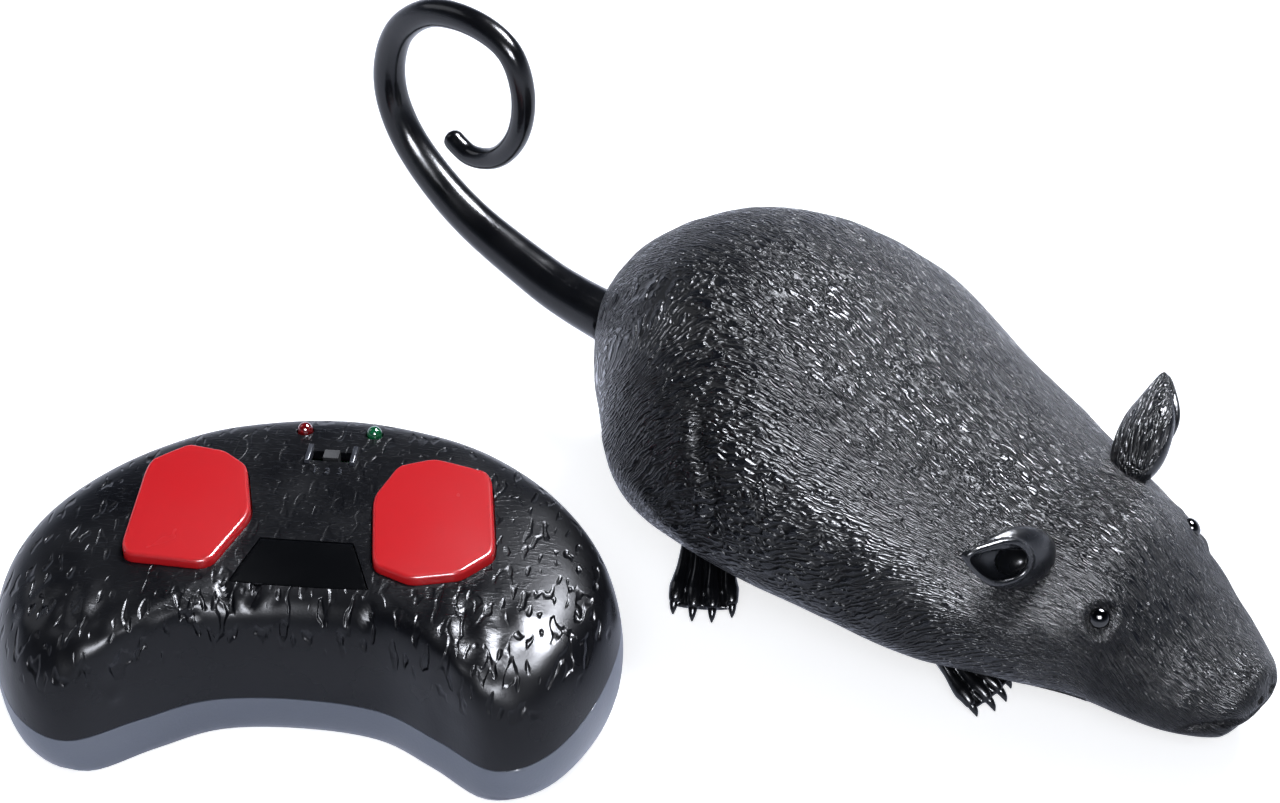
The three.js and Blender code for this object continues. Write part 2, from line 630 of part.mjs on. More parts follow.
// Feet: an ankle, a palm and clawed toes, seated on the belly by a peg
function makeFoot(length, width, ahead, aside, splay) {
  const rise = (share) => SOLE_HEIGHT + share * length * PALM_HEIGHT_SHARE;
  const toeRadius = width * TOE_RADIUS_SHARE;
  const ankleRadius = width * ANKLE_RADIUS_SHARE;
  const ankleLine = new THREE.LineCurve3(
    new THREE.Vector3(0, 0, ANKLE_TOP),
    new THREE.Vector3(length * ANKLE_REACH_SHARE, 0, rise(ANKLE_HEIGHT_SHARE)));
  const ankle = taperedSweep(ankleLine, () => ankleRadius, TOE_SIDES * 2, 2)
    .scale(1, ANKLE_SPREAD_SHARE, 1);
  const palm = new THREE.SphereGeometry(1, SMALL_SIDES, TOE_STEPS)
    .scale(length * PALM_LENGTH_SHARE, width * PALM_WIDTH_SHARE, length * PALM_HEIGHT_SHARE / 2)
    .translate(length * PALM_REACH_SHARE, 0, rise(PALM_RISE_SHARE));
  const toeAt = (share) => {
    const spread = share * width / 2;
    const reach = length * (1 - TOE_SHORTENING_SHARE * share * share);
    const bones = toeShares.map(([ahead, aside, up]) =>
      new THREE.Vector3(length * ahead, spread * aside, rise(up)));
    const line = new THREE.CatmullRomCurve3([...bones, new THREE.Vector3(reach, spread, SOLE_HEIGHT)]);
    const clawAt = (way) => CLAW_RADIUS + (toeRadius - CLAW_RADIUS) * (1 - way) / CLAW_TAPER_SHARE;
    const radius = (way) => (way < CLAW_START_SHARE ? toeRadius : clawAt(way));
    return taperedSweep(line, radius, TOE_SIDES, TOE_STEPS);
  };
  const toes = Array.from({ length: TOE_COUNT }, (_, i) => toeAt(2 * i / (TOE_COUNT - 1) - 1));
  const turn = -THREE.MathUtils.degToRad(splay);
  const foot = join(ankle, palm, ...toes).rotateZ(turn).translate(ahead, aside, 0);
  const peg = postZ(FOOT_PEG_RADIUS, ahead, aside, rise(PEG_RISE_SHARE), FOOT_PEG_TOP, SMALL_SIDES);
  return join(cut(foot, clearBody), peg);
}

const footPlaces = [[REAR_FOOT_AHEAD, REAR_FOOT_ASIDE], [FRONT_FOOT_AHEAD, FRONT_FOOT_ASIDE]];

// Cell bay: two cells side by side along X, bridged at the front, with a terminal each at the back
const cellAside = CELL_RADIUS + GAP / 2;
const bayHalfWidth = cellAside + CELL_RADIUS + GAP;
const bayHalfLength = (CELL_LENGTH + SPRING_LENGTH + 2 * CONTACT_THICKNESS + 4 * GAP) / 2;
const lugScrewAside = bayHalfWidth + BAY_WALL + SCREW_RADIUS + BOSS_WALL;

// Places along the rat: gearbox and switch behind the bay, caster ahead of it
const lugEnd = MOTOR_RADIUS + GAP + GEARBOX_LUG_LENGTH;
const axleAhead = RAT_BAY_AHEAD - bayHalfLength - BAY_WALL - GEARBOX_BAY_CLEARANCE - lugEnd;
const switchAhead = axleAhead - lugEnd - SWITCH_CLEARANCE - SWITCH_WIDTH / 2;
const panScrewAhead = switchAhead - SWITCH_WIDTH / 2 - PAN_SCREW_CLEARANCE;
const casterAhead = RAT_BAY_AHEAD + bayHalfLength + BAY_WALL + CASTER_BAY_CLEARANCE + CASTER_CUP_WALL
  + CASTER_CUP_RADIUS;

function makeCell() {
  const rim = CELL_LENGTH - CELL_NUB_LENGTH;
  return turnedZ([[0, 0], [CELL_RADIUS, 0], [CELL_RADIUS, rim], [CELL_NUB_RADIUS, rim],
    [CELL_NUB_RADIUS, CELL_LENGTH], [0, CELL_LENGTH]], ROUND_SIDES).rotateY(Math.PI / 2);
}

function spring(x, y, z, facing) {
  return new THREE.CylinderGeometry(SPRING_TIP_RADIUS, SPRING_ROOT_RADIUS, SPRING_LENGTH, SMALL_SIDES)
    .rotateZ(-facing * Math.PI / 2).translate(x + facing * SPRING_LENGTH / 2, y, z);
}

function addCells(group, prefix, x, y, z) {
  const front = x + bayHalfLength - GAP;
  const rear = x - bayHalfLength + GAP;
  const plate = (x0, y0, y1) =>
    block(x0, x0 + CONTACT_THICKNESS, y0, y1, z - CONTACT_HEIGHT / 2, z + CONTACT_HEIGHT / 2);
  const halfPlate = CONTACT_WIDTH / 2;
  const frontFace = front - CONTACT_THICKNESS;
  const rearFace = rear + CONTACT_THICKNESS;
  const cell = makeCell();
  const turnedCell = makeCell().rotateZ(Math.PI);
  cell.translate(frontFace - GAP - CELL_LENGTH, y - cellAside, z);
  turnedCell.translate(rearFace + GAP + CELL_LENGTH, y + cellAside, z);
  add(group, `${prefix}_right_cell`, cell, finishes.cell);
  add(group, `${prefix}_left_cell`, turnedCell, finishes.cell);
  const bridge = join(plate(frontFace, y - cellAside - halfPlate, y + cellAside + halfPlate),
    spring(frontFace, y + cellAside, z, -1));
  add(group, `${prefix}_cell_bridge`, bridge, finishes.steel);
  const sprung = join(plate(rear, y - cellAside - halfPlate, y - cellAside + halfPlate),
    spring(rearFace, y - cellAside, z, 1));
  add(group, `${prefix}_spring_terminal`, sprung, finishes.steel);
  const flat = plate(rear, y + cellAside - halfPlate, y + cellAside + halfPlate);
  add(group, `${prefix}_plate_terminal`, flat, finishes.steel);
}

// Outline of the bay door: the bay itself and a screw lug on its right side
function doorBlocks(x, y, z0, z1, clearance) {
  const [halfBay, acrossBay] = [bayHalfLength - clearance, bayHalfWidth - clearance];
  const halfLug = LUG_WIDTH / 2 - clearance;
  const lugFar = y - bayHalfWidth - LUG_REACH - BAY_WALL + clearance;
  return join(
    block(x - halfBay, x + halfBay, y - acrossBay, y + acrossBay, z0, z1),
    block(x - halfLug, x + halfLug, lugFar, y - acrossBay + clearance, z0, z1));
}

// Walls round the cells, with a boss for the door's screw
function bayWalls(x, y, z0, z1, lugTop, bossTop) {
  const [halfBay, acrossBay] = [bayHalfLength + BAY_WALL, bayHalfWidth + BAY_WALL];
  const outer = block(x - halfBay, x + halfBay, y - acrossBay, y + acrossBay, z0, z1);
  const inner = block(x - bayHalfLength, x + bayHalfLength, y - bayHalfWidth, y + bayHalfWidth,
    z0 - OVERRUN, z1 + OVERRUN);
  const boss = postZ(SCREW_RADIUS + BOSS_WALL, x, y - lugScrewAside, lugTop, bossTop, SMALL_SIDES);
  const web = block(x - BAY_WALL / 2, x + BAY_WALL / 2, y - lugScrewAside, y - acrossBay + BAY_WALL / 2,
    lugTop, bossTop);
  return join(cut(outer, inner), boss, web);
}

function tongue(x, y, z, clearance) {
  const root = y + bayHalfWidth - TONGUE_LENGTH;
  const tip = y + bayHalfWidth + BAY_WALL + TONGUE_LENGTH / 2;
  const half = TONGUE_WIDTH / 2 + clearance;
  return block(x - half, x + half, root, tip + clearance, z - clearance, z + TONGUE_THICKNESS + clearance);
}

// Door: a piece of the wall with a screw lug, cradles for the cells and a tongue on its left side
function makeDoor(wall, insideForm, x, y, cellZ, lugTop, screwSeat, tongueZ) {
  const top = cellZ - CRADLE_DROP;
  const panel = common(wall, doorBlocks(x, y, -OVERRUN, lugTop - GAP, GAP));
  const lug = common(insideForm, block(x - LUG_WIDTH / 2 + GAP, x + LUG_WIDTH / 2 - GAP,
    y - bayHalfWidth - BAY_WALL - LUG_REACH + GAP, y - bayHalfWidth + 2 * GAP, 0, lugTop - GAP));
  const rib = (at) => block(at - CRADLE_WIDTH / 2, at + CRADLE_WIDTH / 2, y - bayHalfWidth + 2 * GAP,
    y + bayHalfWidth - 2 * GAP, 0, top);
  const ribs = common(join(rib(x - bayHalfLength / 2), rib(x + bayHalfLength / 2)), insideForm);
  const cells = [-1, 1].map((side) =>
    rodX(CELL_RADIUS + GAP, y + side * cellAside, cellZ, x - bayHalfLength, x + bayHalfLength, LARGE_SIDES));
  const hook = join(tongue(x, y, tongueZ, 0),
    common(block(x - TONGUE_WIDTH / 2, x + TONGUE_WIDTH / 2, y + bayHalfWidth - TONGUE_LENGTH,
      y + bayHalfWidth - 2 * GAP, 0, tongueZ + TONGUE_THICKNESS), insideForm));
  const screw = y - lugScrewAside;
  return cut(join(panel, lug, ribs, hook), ...cells,
    postZ(SCREW_RADIUS + GAP, x, screw, -OVERRUN, lugTop + OVERRUN, SMALL_SIDES),
    postZ(SCREW_HEAD_RADIUS + GAP, x, screw, -OVERRUN, screwSeat, SMALL_SIDES));
}

// Screw, head down, its head's underside at the given height
function makeScrew(x, y, z) {
  return turnedZ([[0, -SCREW_HEAD_LENGTH], [SCREW_HEAD_TOP_RADIUS, -SCREW_HEAD_LENGTH],
    [SCREW_HEAD_RADIUS, -SCREW_HEAD_LENGTH / 2], [SCREW_HEAD_RADIUS, 0], [SCREW_RADIUS, 0],
    [SCREW_RADIUS, SCREW_LENGTH - SCREW_RADIUS], [0, SCREW_LENGTH]], SMALL_SIDES).translate(x, y, z);
}

// Belly pan and body shell, parted on one level and at the pan's front edge
const beyond = (clearance) => block(-halfLength - OVERRUN, PAN_REACH + clearance,
  -halfWidth - OVERRUN, halfWidth + OVERRUN, -OVERRUN, PARTING_HEIGHT + clearance);
const onBothSides = (tool) => [tool, mirrored(tool)];

// Height of the belly's underside on the centre line, found by halving the body again and again
function bellyAt(ahead) {
  let [low, high] = [0, 1];
  for (let i = 0; i < TAIL_STEPS; i += 1) {
    const middle = (low + high) / 2;
    if (bodyPoint(middle, -Math.PI / 2, 0).x < ahead) low = middle;
    else high = middle;
  }
  return bodyPoint(low, -Math.PI / 2, 0).z;
}

// Gear train heights: the axle, the compound gear's pin and the motor shaft stand above each other
const axleHeight = WHEEL_RADIUS;
const pinHeight = axleHeight + (DRIVE_TEETH + SMALL_TEETH) * GEAR_MODULE / 2;
const shaftHeight = pinHeight + (LARGE_TEETH + PINION_TEETH) * GEAR_MODULE / 2;
const tipRadius = (teeth) => (teeth / 2 + ADDENDUM_SHARE) * GEAR_MODULE;
const boxMargin = GEARBOX_CLEARANCE + GEARBOX_WALL;
const leftPlate = GEARBOX_RIGHT_FACE + GEARBOX_DEPTH;
const leftPlateOuter = leftPlate + GEARBOX_PLATE;
const coverInner = GEARBOX_RIGHT_FACE - GAP;
const coverOuter = coverInner - GEARBOX_PLATE;
const lugCentre = MOTOR_RADIUS + GEARBOX_LUG_LENGTH / 2 + GAP;
const lugMiddle = (GEARBOX_RIGHT_FACE + leftPlate) / 2;

// Gearbox outline in X and Z, drawn in by an inset
function gearboxShape(inset) {
  const low = tipRadius(DRIVE_TEETH) + boxMargin - inset;
  const high = MOTOR_RADIUS - inset;
  const shape = new THREE.Shape();
  shape.absarc(axleAhead, axleHeight, low, Math.PI, 2 * Math.PI, false);
  shape.lineTo(axleAhead + high, pinHeight);
  shape.lineTo(axleAhead + high, shaftHeight);
  shape.absarc(axleAhead, shaftHeight, high, 0, Math.PI, false);
  shape.lineTo(axleAhead - high, pinHeight);
  shape.closePath();
  return shape;
}

// Involute gear outline about the origin, a tooth centred on the given angle
function gearShape(teeth, bore, firstTooth) {
  const pitch = teeth * GEAR_MODULE / 2;
  const base = pitch * Math.cos(THREE.MathUtils.degToRad(PRESSURE_ANGLE));
  const involute = (radius) => {
    const angle = Math.acos(Math.min(1, base / radius));
    return Math.tan(angle) - angle;
  };
  const half = Math.PI / (2 * teeth) * (1 - BACKLASH_SHARE);
  const flank = [pitch - DEDENDUM_SHARE * GEAR_MODULE, pitch, tipRadius(teeth)];
  const points = [];
  for (let i = 0; i < teeth; i += 1) {
    const centre = firstTooth + i * 2 * Math.PI / teeth;
    const width = (radius) => half + involute(pitch) - involute(radius);
    const right = flank.map((radius) => [radius, centre - width(radius)]);
    const left = flank.map((radius) => [radius, centre + width(radius)]).reverse();
    points.push(...right, ...left);
  }
  const shape = new THREE.Shape(points.map(([radius, angle]) =>
    new THREE.Vector2(radius * Math.cos(angle), radius * Math.sin(angle))));
  shape.holes.push(new THREE.Path().absarc(0, 0, bore, 0, 2 * Math.PI, true));
  return shape;
}

const gearY = (teeth, bore, firstTooth, z, y0, y1) =>
  slabY(gearShape(teeth, bore, firstTooth), y0, y1).translate(axleAhead, 0, z);
const straightUp = Math.PI / 2;

function makeDriveGear() {
  const middle = lugMiddle + GAP;
  const bore = AXLE_RADIUS + GAP;
  const half = DRIVE_GEAR_WIDTH / 2;
  const gear = gearY(DRIVE_TEETH, bore, straightUp, axleHeight, middle - half, middle + half);
  const hub = rodY(GEAR_HUB_RADIUS, axleAhead, axleHeight, middle, leftPlate - GAP);
  return join(gear, cut(hub, rodY(bore, axleAhead, axleHeight, middle - OVERRUN, leftPlate + OVERRUN)));
}

function makeCompoundGear() {
  const start = GEARBOX_RIGHT_FACE + 2 * GAP;
  const step = start + LARGE_GEAR_WIDTH;
  const bore = GEAR_PIN_RADIUS + GAP;
  const large = gearY(LARGE_TEETH, bore, straightUp, pinHeight, start, step);
  const between = Math.PI / SMALL_TEETH - straightUp;
  const small = gearY(SMALL_TEETH, bore, between, pinHeight, step, leftPlate - GAP);
  return join(large, small);
}

function makePinion() {
  const start = GEARBOX_RIGHT_FACE + GAP;
  const first = Math.PI / PINION_TEETH - straightUp;
  return gearY(PINION_TEETH, MOTOR_SHAFT_RADIUS + GAP, first, shaftHeight, start, start + PINION_WIDTH);
}

const lugBlock = (side, z0, z1) => block(axleAhead + side * lugCentre - GEARBOX_LUG_LENGTH / 2,
  axleAhead + side * lugCentre + GEARBOX_LUG_LENGTH / 2, lugMiddle - GEARBOX_LUG_WIDTH / 2,
  lugMiddle + GEARBOX_LUG_WIDTH / 2, z0, z1);

function makeGearboxHousing() {
  const tub = cut(slabY(gearboxShape(0), GEARBOX_RIGHT_FACE, leftPlateOuter),
    slabY(gearboxShape(GEARBOX_WALL), GEARBOX_RIGHT_FACE - OVERRUN, leftPlate));
  const wallReach = MOTOR_RADIUS - GEARBOX_WALL / 2;
  const lugReach = lugCentre + GEARBOX_LUG_LENGTH / 2;
  const lugs = [[-lugReach, -wallReach], [wallReach, lugReach]].map(([rear, front]) =>
    block(axleAhead + rear, axleAhead + front, lugMiddle - GEARBOX_LUG_WIDTH / 2,
      lugMiddle + GEARBOX_LUG_WIDTH / 2, GEARBOX_LUG_HEIGHT, GEARBOX_LUG_HEIGHT + GEARBOX_LUG_THICKNESS));
  const pin = rodY(GEAR_PIN_RADIUS, axleAhead, pinHeight, GEARBOX_RIGHT_FACE, leftPlate + GAP, SMALL_SIDES);
  const bearing = rodY(AXLE_RADIUS + GAP, axleAhead, axleHeight, leftPlate - OVERRUN,
    leftPlateOuter + OVERRUN);
  const window = rodY(MOTOR_BOSS_RADIUS + GAP, axleAhead, shaftHeight, leftPlate - OVERRUN,
    leftPlateOuter + OVERRUN);
  return cut(join(tub, ...lugs, pin), bearing, window);
}

function makeGearboxCover() {
  const plate = slabY(gearboxShape(0), coverOuter, coverInner);
  const bearing = rodY(AXLE_RADIUS + GAP, axleAhead, axleHeight, coverOuter - OVERRUN, coverInner + OVERRUN);
  return cut(plate, bearing);
}

// Motor: a can with two flats, an end cap and a boss through the gearbox's plate
const motorFace = leftPlateOuter + GAP;

function motorShape(inset) {
  const radius = MOTOR_RADIUS - inset;
  const flat = Math.asin((MOTOR_HEIGHT / 2 - inset) / radius);
  const shape = new THREE.Shape();
  shape.absarc(axleAhead, shaftHeight, radius, -flat, flat, false);
  shape.absarc(axleAhead, shaftHeight, radius, Math.PI - flat, Math.PI + flat, false);
  shape.closePath();
  return shape;
}

function makeMotor() {
  const capStart = motorFace + MOTOR_LENGTH - MOTOR_CAP_LENGTH;
  const can = slabY(motorShape(0), motorFace, capStart);
  const cap = slabY(motorShape(MOTOR_CAP_STEP), capStart - GAP, motorFace + MOTOR_LENGTH);
  const boss = rodY(MOTOR_BOSS_RADIUS, axleAhead, shaftHeight, motorFace - MOTOR_BOSS_LENGTH,
    motorFace + GAP);
  const bore = rodY(MOTOR_SHAFT_RADIUS + GAP, axleAhead, shaftHeight, motorFace - OVERRUN,
    motorFace + MOTOR_SHAFT_DEPTH + GAP, SMALL_SIDES);
  return cut(join(can, cap, boss), bore);
}

// Rear wheels: a dished rim on the axle with a rubber tyre round it
function makeWheel(side) {
  const rim = WHEEL_RADIUS - TYRE_THICKNESS - GAP;
  const half = WHEEL_WIDTH / 2;
  const inner = rim - RIM_THICKNESS;
  const bore = AXLE_RADIUS + GAP;
  const hub = bore + HUB_THICKNESS;
  const web = WEB_THICKNESS / 2;
  const profile = [[bore, -half], [hub, -half], [hub, -web], [inner, -web], [inner, -half], [rim, -half],
    [rim, half], [inner, half], [inner, web], [hub, web], [hub, half], [bore, half], [bore, -half]];
  return turnedY(profile, LARGE_SIDES)
    .translate(axleAhead, side * WHEEL_TRACK / 2, axleHeight);
}

function makeTyre(side) {
  const inner = WHEEL_RADIUS - TYRE_THICKNESS;
  const half = WHEEL_WIDTH / 2;
  const shoulder = WHEEL_RADIUS - TYRE_CROWN;
  return turnedY([[inner, -half], [shoulder, -half], [WHEEL_RADIUS, -half + 2 * TYRE_CROWN],
    [WHEEL_RADIUS, half - 2 * TYRE_CROWN], [shoulder, half], [inner, half], [inner, -half]], LARGE_SIDES)
    .translate(axleAhead, side * WHEEL_TRACK / 2, axleHeight);
}

// Caster: a trailing wheel in a fork whose barbed stem snaps through the roof of its cup
const cupRoof = CASTER_CROWN_HEIGHT + CASTER_CROWN_THICKNESS + GAP;
const cupTop = cupRoof + CASTER_CUP_ROOF;
const casterBack = casterAhead - CASTER_TRAIL;
const legInner = CASTER_WIDTH / 2 + GAP;

function makeFork() {
  const crownTop = CASTER_CROWN_HEIGHT + CASTER_CROWN_THICKNESS;
  const tip = cupTop + GAP + CASTER_BARB_LENGTH;
  const crown = postZ(CASTER_CROWN_RADIUS, casterAhead, 0, CASTER_CROWN_HEIGHT, crownTop);
  const stem = postZ(CASTER_STEM_RADIUS, casterAhead, 0, CASTER_CROWN_HEIGHT, tip);
  const barb = turnedZ([[0, cupTop + GAP], [CASTER_STEM_RADIUS + CASTER_BARB, cupTop + GAP],
    [CASTER_STEM_RADIUS, tip], [0, tip]], ROUND_SIDES).translate(casterAhead, 0, 0);
  const lug = block(casterAhead - CASTER_LUG_WIDTH / 2, casterAhead + CASTER_LUG_WIDTH / 2, 0,
    CASTER_CROWN_RADIUS + CASTER_LUG_REACH, CASTER_CROWN_HEIGHT, crownTop - GAP);
  const leg = new THREE.Shape();
  leg.moveTo(casterAhead + CASTER_LEG_WIDTH / 2, CASTER_CROWN_HEIGHT + GAP);
  leg.lineTo(casterAhead - CASTER_LEG_WIDTH / 2, CASTER_CROWN_HEIGHT + GAP);
  leg.absarc(casterBack, CASTER_RADIUS, CASTER_FOOT_RADIUS, Math.PI, 2 * Math.PI, false);
  leg.closePath();
  const legs = [slabY(leg, legInner, legInner + CASTER_LEG_THICKNESS),
    slabY(leg, -legInner - CASTER_LEG_THICKNESS, -legInner)];
  const hole = rodY(CASTER_AXLE_RADIUS + GAP, casterBack, CASTER_RADIUS, -CASTER_CROWN_RADIUS,
    CASTER_CROWN_RADIUS, SMALL_SIDES);
  return cut(join(crown, stem, barb, lug, ...legs), hole);
}

function makeCasterWheel() {
  const half = CASTER_WIDTH / 2;
  const bore = CASTER_AXLE_RADIUS + GAP;
  const shoulder = CASTER_RADIUS - TYRE_CROWN;
  return turnedY([[bore, -half], [shoulder, -half], [CASTER_RADIUS, -half + TYRE_CROWN],
    [CASTER_RADIUS, half - TYRE_CROWN], [shoulder, half], [bore, half], [bore, -half]], ROUND_SIDES)
    .translate(casterBack, 0, CASTER_RADIUS);
}

// Two ribs in the cup that stop the fork's lug at the ends of its swing
function casterStops() {
  const radius = CASTER_CROWN_RADIUS + CASTER_LUG_REACH / 2;
  const apart = Math.asin((CASTER_LUG_WIDTH + 2 * GAP) / radius);
  const rib = block(CASTER_CROWN_RADIUS + 2 * GAP, CASTER_CUP_RADIUS + CASTER_CUP_WALL / 2,
    -CASTER_LUG_WIDTH / 2, CASTER_LUG_WIDTH / 2, cupRoof - CASTER_STOP_HEIGHT, cupRoof + GAP);
  const swing = THREE.MathUtils.degToRad(CASTER_SWING_ANGLE);
  return [straightUp - apart, straightUp + swing + apart].map((angle) =>
    rib.clone().rotateZ(angle).translate(casterAhead, 0, 0));
}

const ratBayTop = RAT_CELL_HEIGHT + CELL_RADIUS + GAP;
const screwSpots = [-1, 1].map((side) => [panScrewAhead, side * PAN_SCREW_ASIDE]);

// Openings in the belly round the rear wheels
const wellReach = WHEEL_RADIUS + WHEEL_SLOT_CLEARANCE;
const wheelWell = block(axleAhead - wellReach, axleAhead + wellReach,
  (WHEEL_TRACK - WHEEL_WIDTH) / 2 - WHEEL_SLOT_CLEARANCE,
  (WHEEL_TRACK + WHEEL_WIDTH) / 2 + WHEEL_SLOT_CLEARANCE,
  -OVERRUN, PARTING_HEIGHT + OVERRUN);
const switchSeat = bellyAt(switchAhead) + SWITCH_LIFT;

function makePan() {
  const wall = common(bodyWallForm, beyond(-GAP / 2));
  const footing = SWITCH_LENGTH / 2 + BAY_WALL;
  const inside = join(
    bayWalls(RAT_BAY_AHEAD, 0, 0, ratBayTop, RAT_LUG_SEAT, RAT_LUG_SEAT + SCREW_LENGTH),
    lugBlock(-1, 0, GEARBOX_LUG_HEIGHT - GAP), lugBlock(1, 0, GEARBOX_LUG_HEIGHT - GAP),
    postZ(CASTER_CUP_RADIUS + CASTER_CUP_WALL, casterAhead, 0, 0, cupTop, LARGE_SIDES),
    block(switchAhead - SWITCH_WIDTH / 2 - BAY_WALL, switchAhead + SWITCH_WIDTH / 2 + BAY_WALL,
      -footing, footing, 0, switchSeat),
    ...screwSpots.map(([x, y]) =>
      postZ(SCREW_HEAD_RADIUS + BOSS_WALL, x, y, 0, PARTING_HEIGHT - GAP / 2, SMALL_SIDES)));
  const tip = block(PAN_REACH - 2 * TONGUE_LENGTH, PAN_REACH + TONGUE_LENGTH, -PAN_TONGUE_WIDTH / 2,
    PAN_TONGUE_WIDTH / 2, PAN_TONGUE_HEIGHT, PAN_TONGUE_HEIGHT + TONGUE_THICKNESS);
  const tipRoot = common(midBody, block(PAN_REACH - 2 * TONGUE_LENGTH, PAN_REACH - GAP,
    -PAN_TONGUE_WIDTH / 2, PAN_TONGUE_WIDTH / 2, 0, PAN_TONGUE_HEIGHT + GAP));
  const cup = cut(postZ(CASTER_CUP_RADIUS, casterAhead, 0, -OVERRUN, cupRoof, LARGE_SIDES), ...casterStops());
  const gearWindow = tipRadius(DRIVE_TEETH) + boxMargin + GAP;
  const slot = SWITCH_STEM / 2 + GAP;
  const pilotTop = RAT_LUG_SEAT + SCREW_LENGTH - GAP;
  const pegHole = ([x, y]) =>
    postZ(FOOT_PEG_RADIUS + GAP, x, y, -OVERRUN, FOOT_PEG_TOP + OVERRUN, SMALL_SIDES);
  return cut(join(wall, common(inside, midBody), tip, tipRoot),
    cup,
    postZ(CASTER_STEM_RADIUS + GAP, casterAhead, 0, 0, cupTop + OVERRUN),
    doorBlocks(RAT_BAY_AHEAD, 0, -OVERRUN, RAT_LUG_SEAT, 0),
    postZ(SCREW_RADIUS + GAP, RAT_BAY_AHEAD, -lugScrewAside, 0, pilotTop, SMALL_SIDES),
    tongue(RAT_BAY_AHEAD, 0, RAT_TONGUE_HEIGHT, GAP),
    ...onBothSides(wheelWell),
    rodY(AXLE_RADIUS + 3 * GAP, axleAhead, axleHeight, -WHEEL_TRACK / 2, WHEEL_TRACK / 2),
    block(axleAhead - gearWindow, axleAhead + gearWindow, coverOuter - GAP, leftPlateOuter + GAP,
      -OVERRUN, PARTING_HEIGHT),
    block(switchAhead - slot, switchAhead + slot, -slot - SWITCH_TRAVEL / 2, slot + SWITCH_TRAVEL / 2,
      -OVERRUN, switchSeat + OVERRUN),
    ...footPlaces.flatMap((place) => onBothSides(pegHole(place))),
    ...screwSpots.flatMap(([x, y]) => [
      postZ(SCREW_RADIUS + GAP, x, y, 0, PARTING_HEIGHT + OVERRUN, SMALL_SIDES),
      postZ(SCREW_HEAD_RADIUS + GAP, x, y, -OVERRUN, PAN_SCREW_SEAT, SMALL_SIDES)]));
}

function makeShell() {
  const wall = cut(bodyWallForm, beyond(GAP / 2));
  const bosses = common(midBody, join(...screwSpots.map(([x, y]) =>
    postZ(SCREW_RADIUS + BOSS_WALL, x, y, PARTING_HEIGHT + GAP / 2, aboveBody, SMALL_SIDES))));
  const lips = cut(
    block(-MOUTH_LENGTH, OVERRUN, -halfWidth, halfWidth, -MOUTH_OPENING / 2, MOUTH_OPENING / 2)
      .rotateY(MOUTH_SLOPE).translate(halfLength, 0, MOUTH_HEIGHT),
    bodyForm(MOUTH_DEPTH, CAVITY_AROUND, CAVITY_ALONG));
  return cut(join(wall, bosses), lips, tailHole,
    ...onBothSides(wheelWell),
    ...onBothSides(earStem(EAR_STEM_RADIUS + GAP, 0)),
    ...onBothSides(eyeBead(GAP)),
    ...onBothSides(eyeStem(GAP)),
    ...screwSpots.map(([x, y]) => postZ(SCREW_RADIUS + GAP, x, y, PARTING_HEIGHT - OVERRUN,
      PAN_SCREW_SEAT + SCREW_LENGTH + GAP, SMALL_SIDES)));
}

function addBody() {
  add(rat, 'body_shell', makeShell(), finishes.fur);
  add(rat, 'belly_pan', makePan(), finishes.blackPan);
  const eye = join(eyeBead(0), eyeStem(0));
  const rearFoot = makeFoot(REAR_FOOT_LENGTH, REAR_FOOT_WIDTH, REAR_FOOT_AHEAD, REAR_FOOT_ASIDE,
    REAR_FOOT_ANGLE);
  const frontFoot = makeFoot(FRONT_FOOT_LENGTH, FRONT_FOOT_WIDTH, FRONT_FOOT_AHEAD, FRONT_FOOT_ASIDE,
    FRONT_FOOT_ANGLE);
  add(rat, 'right_ear', makeEar(rightEarMouth), finishes.softBlack);
  add(rat, 'left_ear', mirrored(makeEar(leftEarMouth)), finishes.softBlack);
  const pairs = [['eye', eye, finishes.bead],
    ['rear_foot', rearFoot, finishes.softBlack], ['front_foot', frontFoot, finishes.softBlack]];
  for (const [name, geometry, material] of pairs) {
    add(rat, `right_${name}`, geometry, material);
    add(rat, `left_${name}`, mirrored(geometry), material);
  }
  add(rat, 'tail', makeTail(), finishes.softBlack);
}

function addDrive() {
  add(rat, 'gearbox_housing', makeGearboxHousing(), finishes.greyPlastic);
  add(rat, 'gearbox_cover', makeGearboxCover(), finishes.greyPlastic);
  add(rat, 'motor_can', makeMotor(), finishes.steel);
  add(rat, 'motor_shaft', rodY(MOTOR_SHAFT_RADIUS, axleAhead, shaftHeight, GEARBOX_RIGHT_FACE + GAP,
    motorFace + MOTOR_SHAFT_DEPTH, SMALL_SIDES), finishes.steel);
  add(rat, 'motor_pinion', makePinion(), finishes.brass);
  add(rat, 'compound_gear', makeCompoundGear(), finishes.nylon);
  add(rat, 'drive_gear', makeDriveGear(), finishes.nylon);
  const reach = (WHEEL_TRACK + WHEEL_WIDTH) / 2 - GAP;
  add(rat, 'rear_axle', rodY(AXLE_RADIUS, axleAhead, axleHeight, -reach, reach), finishes.steel);
  for (const [name, side] of [['right', -1], ['left', 1]]) {
    add(rat, `${name}_wheel`, makeWheel(side), finishes.nylon);
    add(rat, `${name}_tyre`, makeTyre(side), finishes.tyre);
  }
  const legReach = legInner + CASTER_LEG_THICKNESS;
  add(rat, 'caster_fork', makeFork(), finishes.greyPlastic);
  const casterAxle = rodY(CASTER_AXLE_RADIUS, casterBack, CASTER_RADIUS, -legReach, legReach, SMALL_SIDES);
  add(rat, 'caster_axle', casterAxle, finishes.steel);
  add(rat, 'caster_wheel', makeCasterWheel(), finishes.tyre);
}

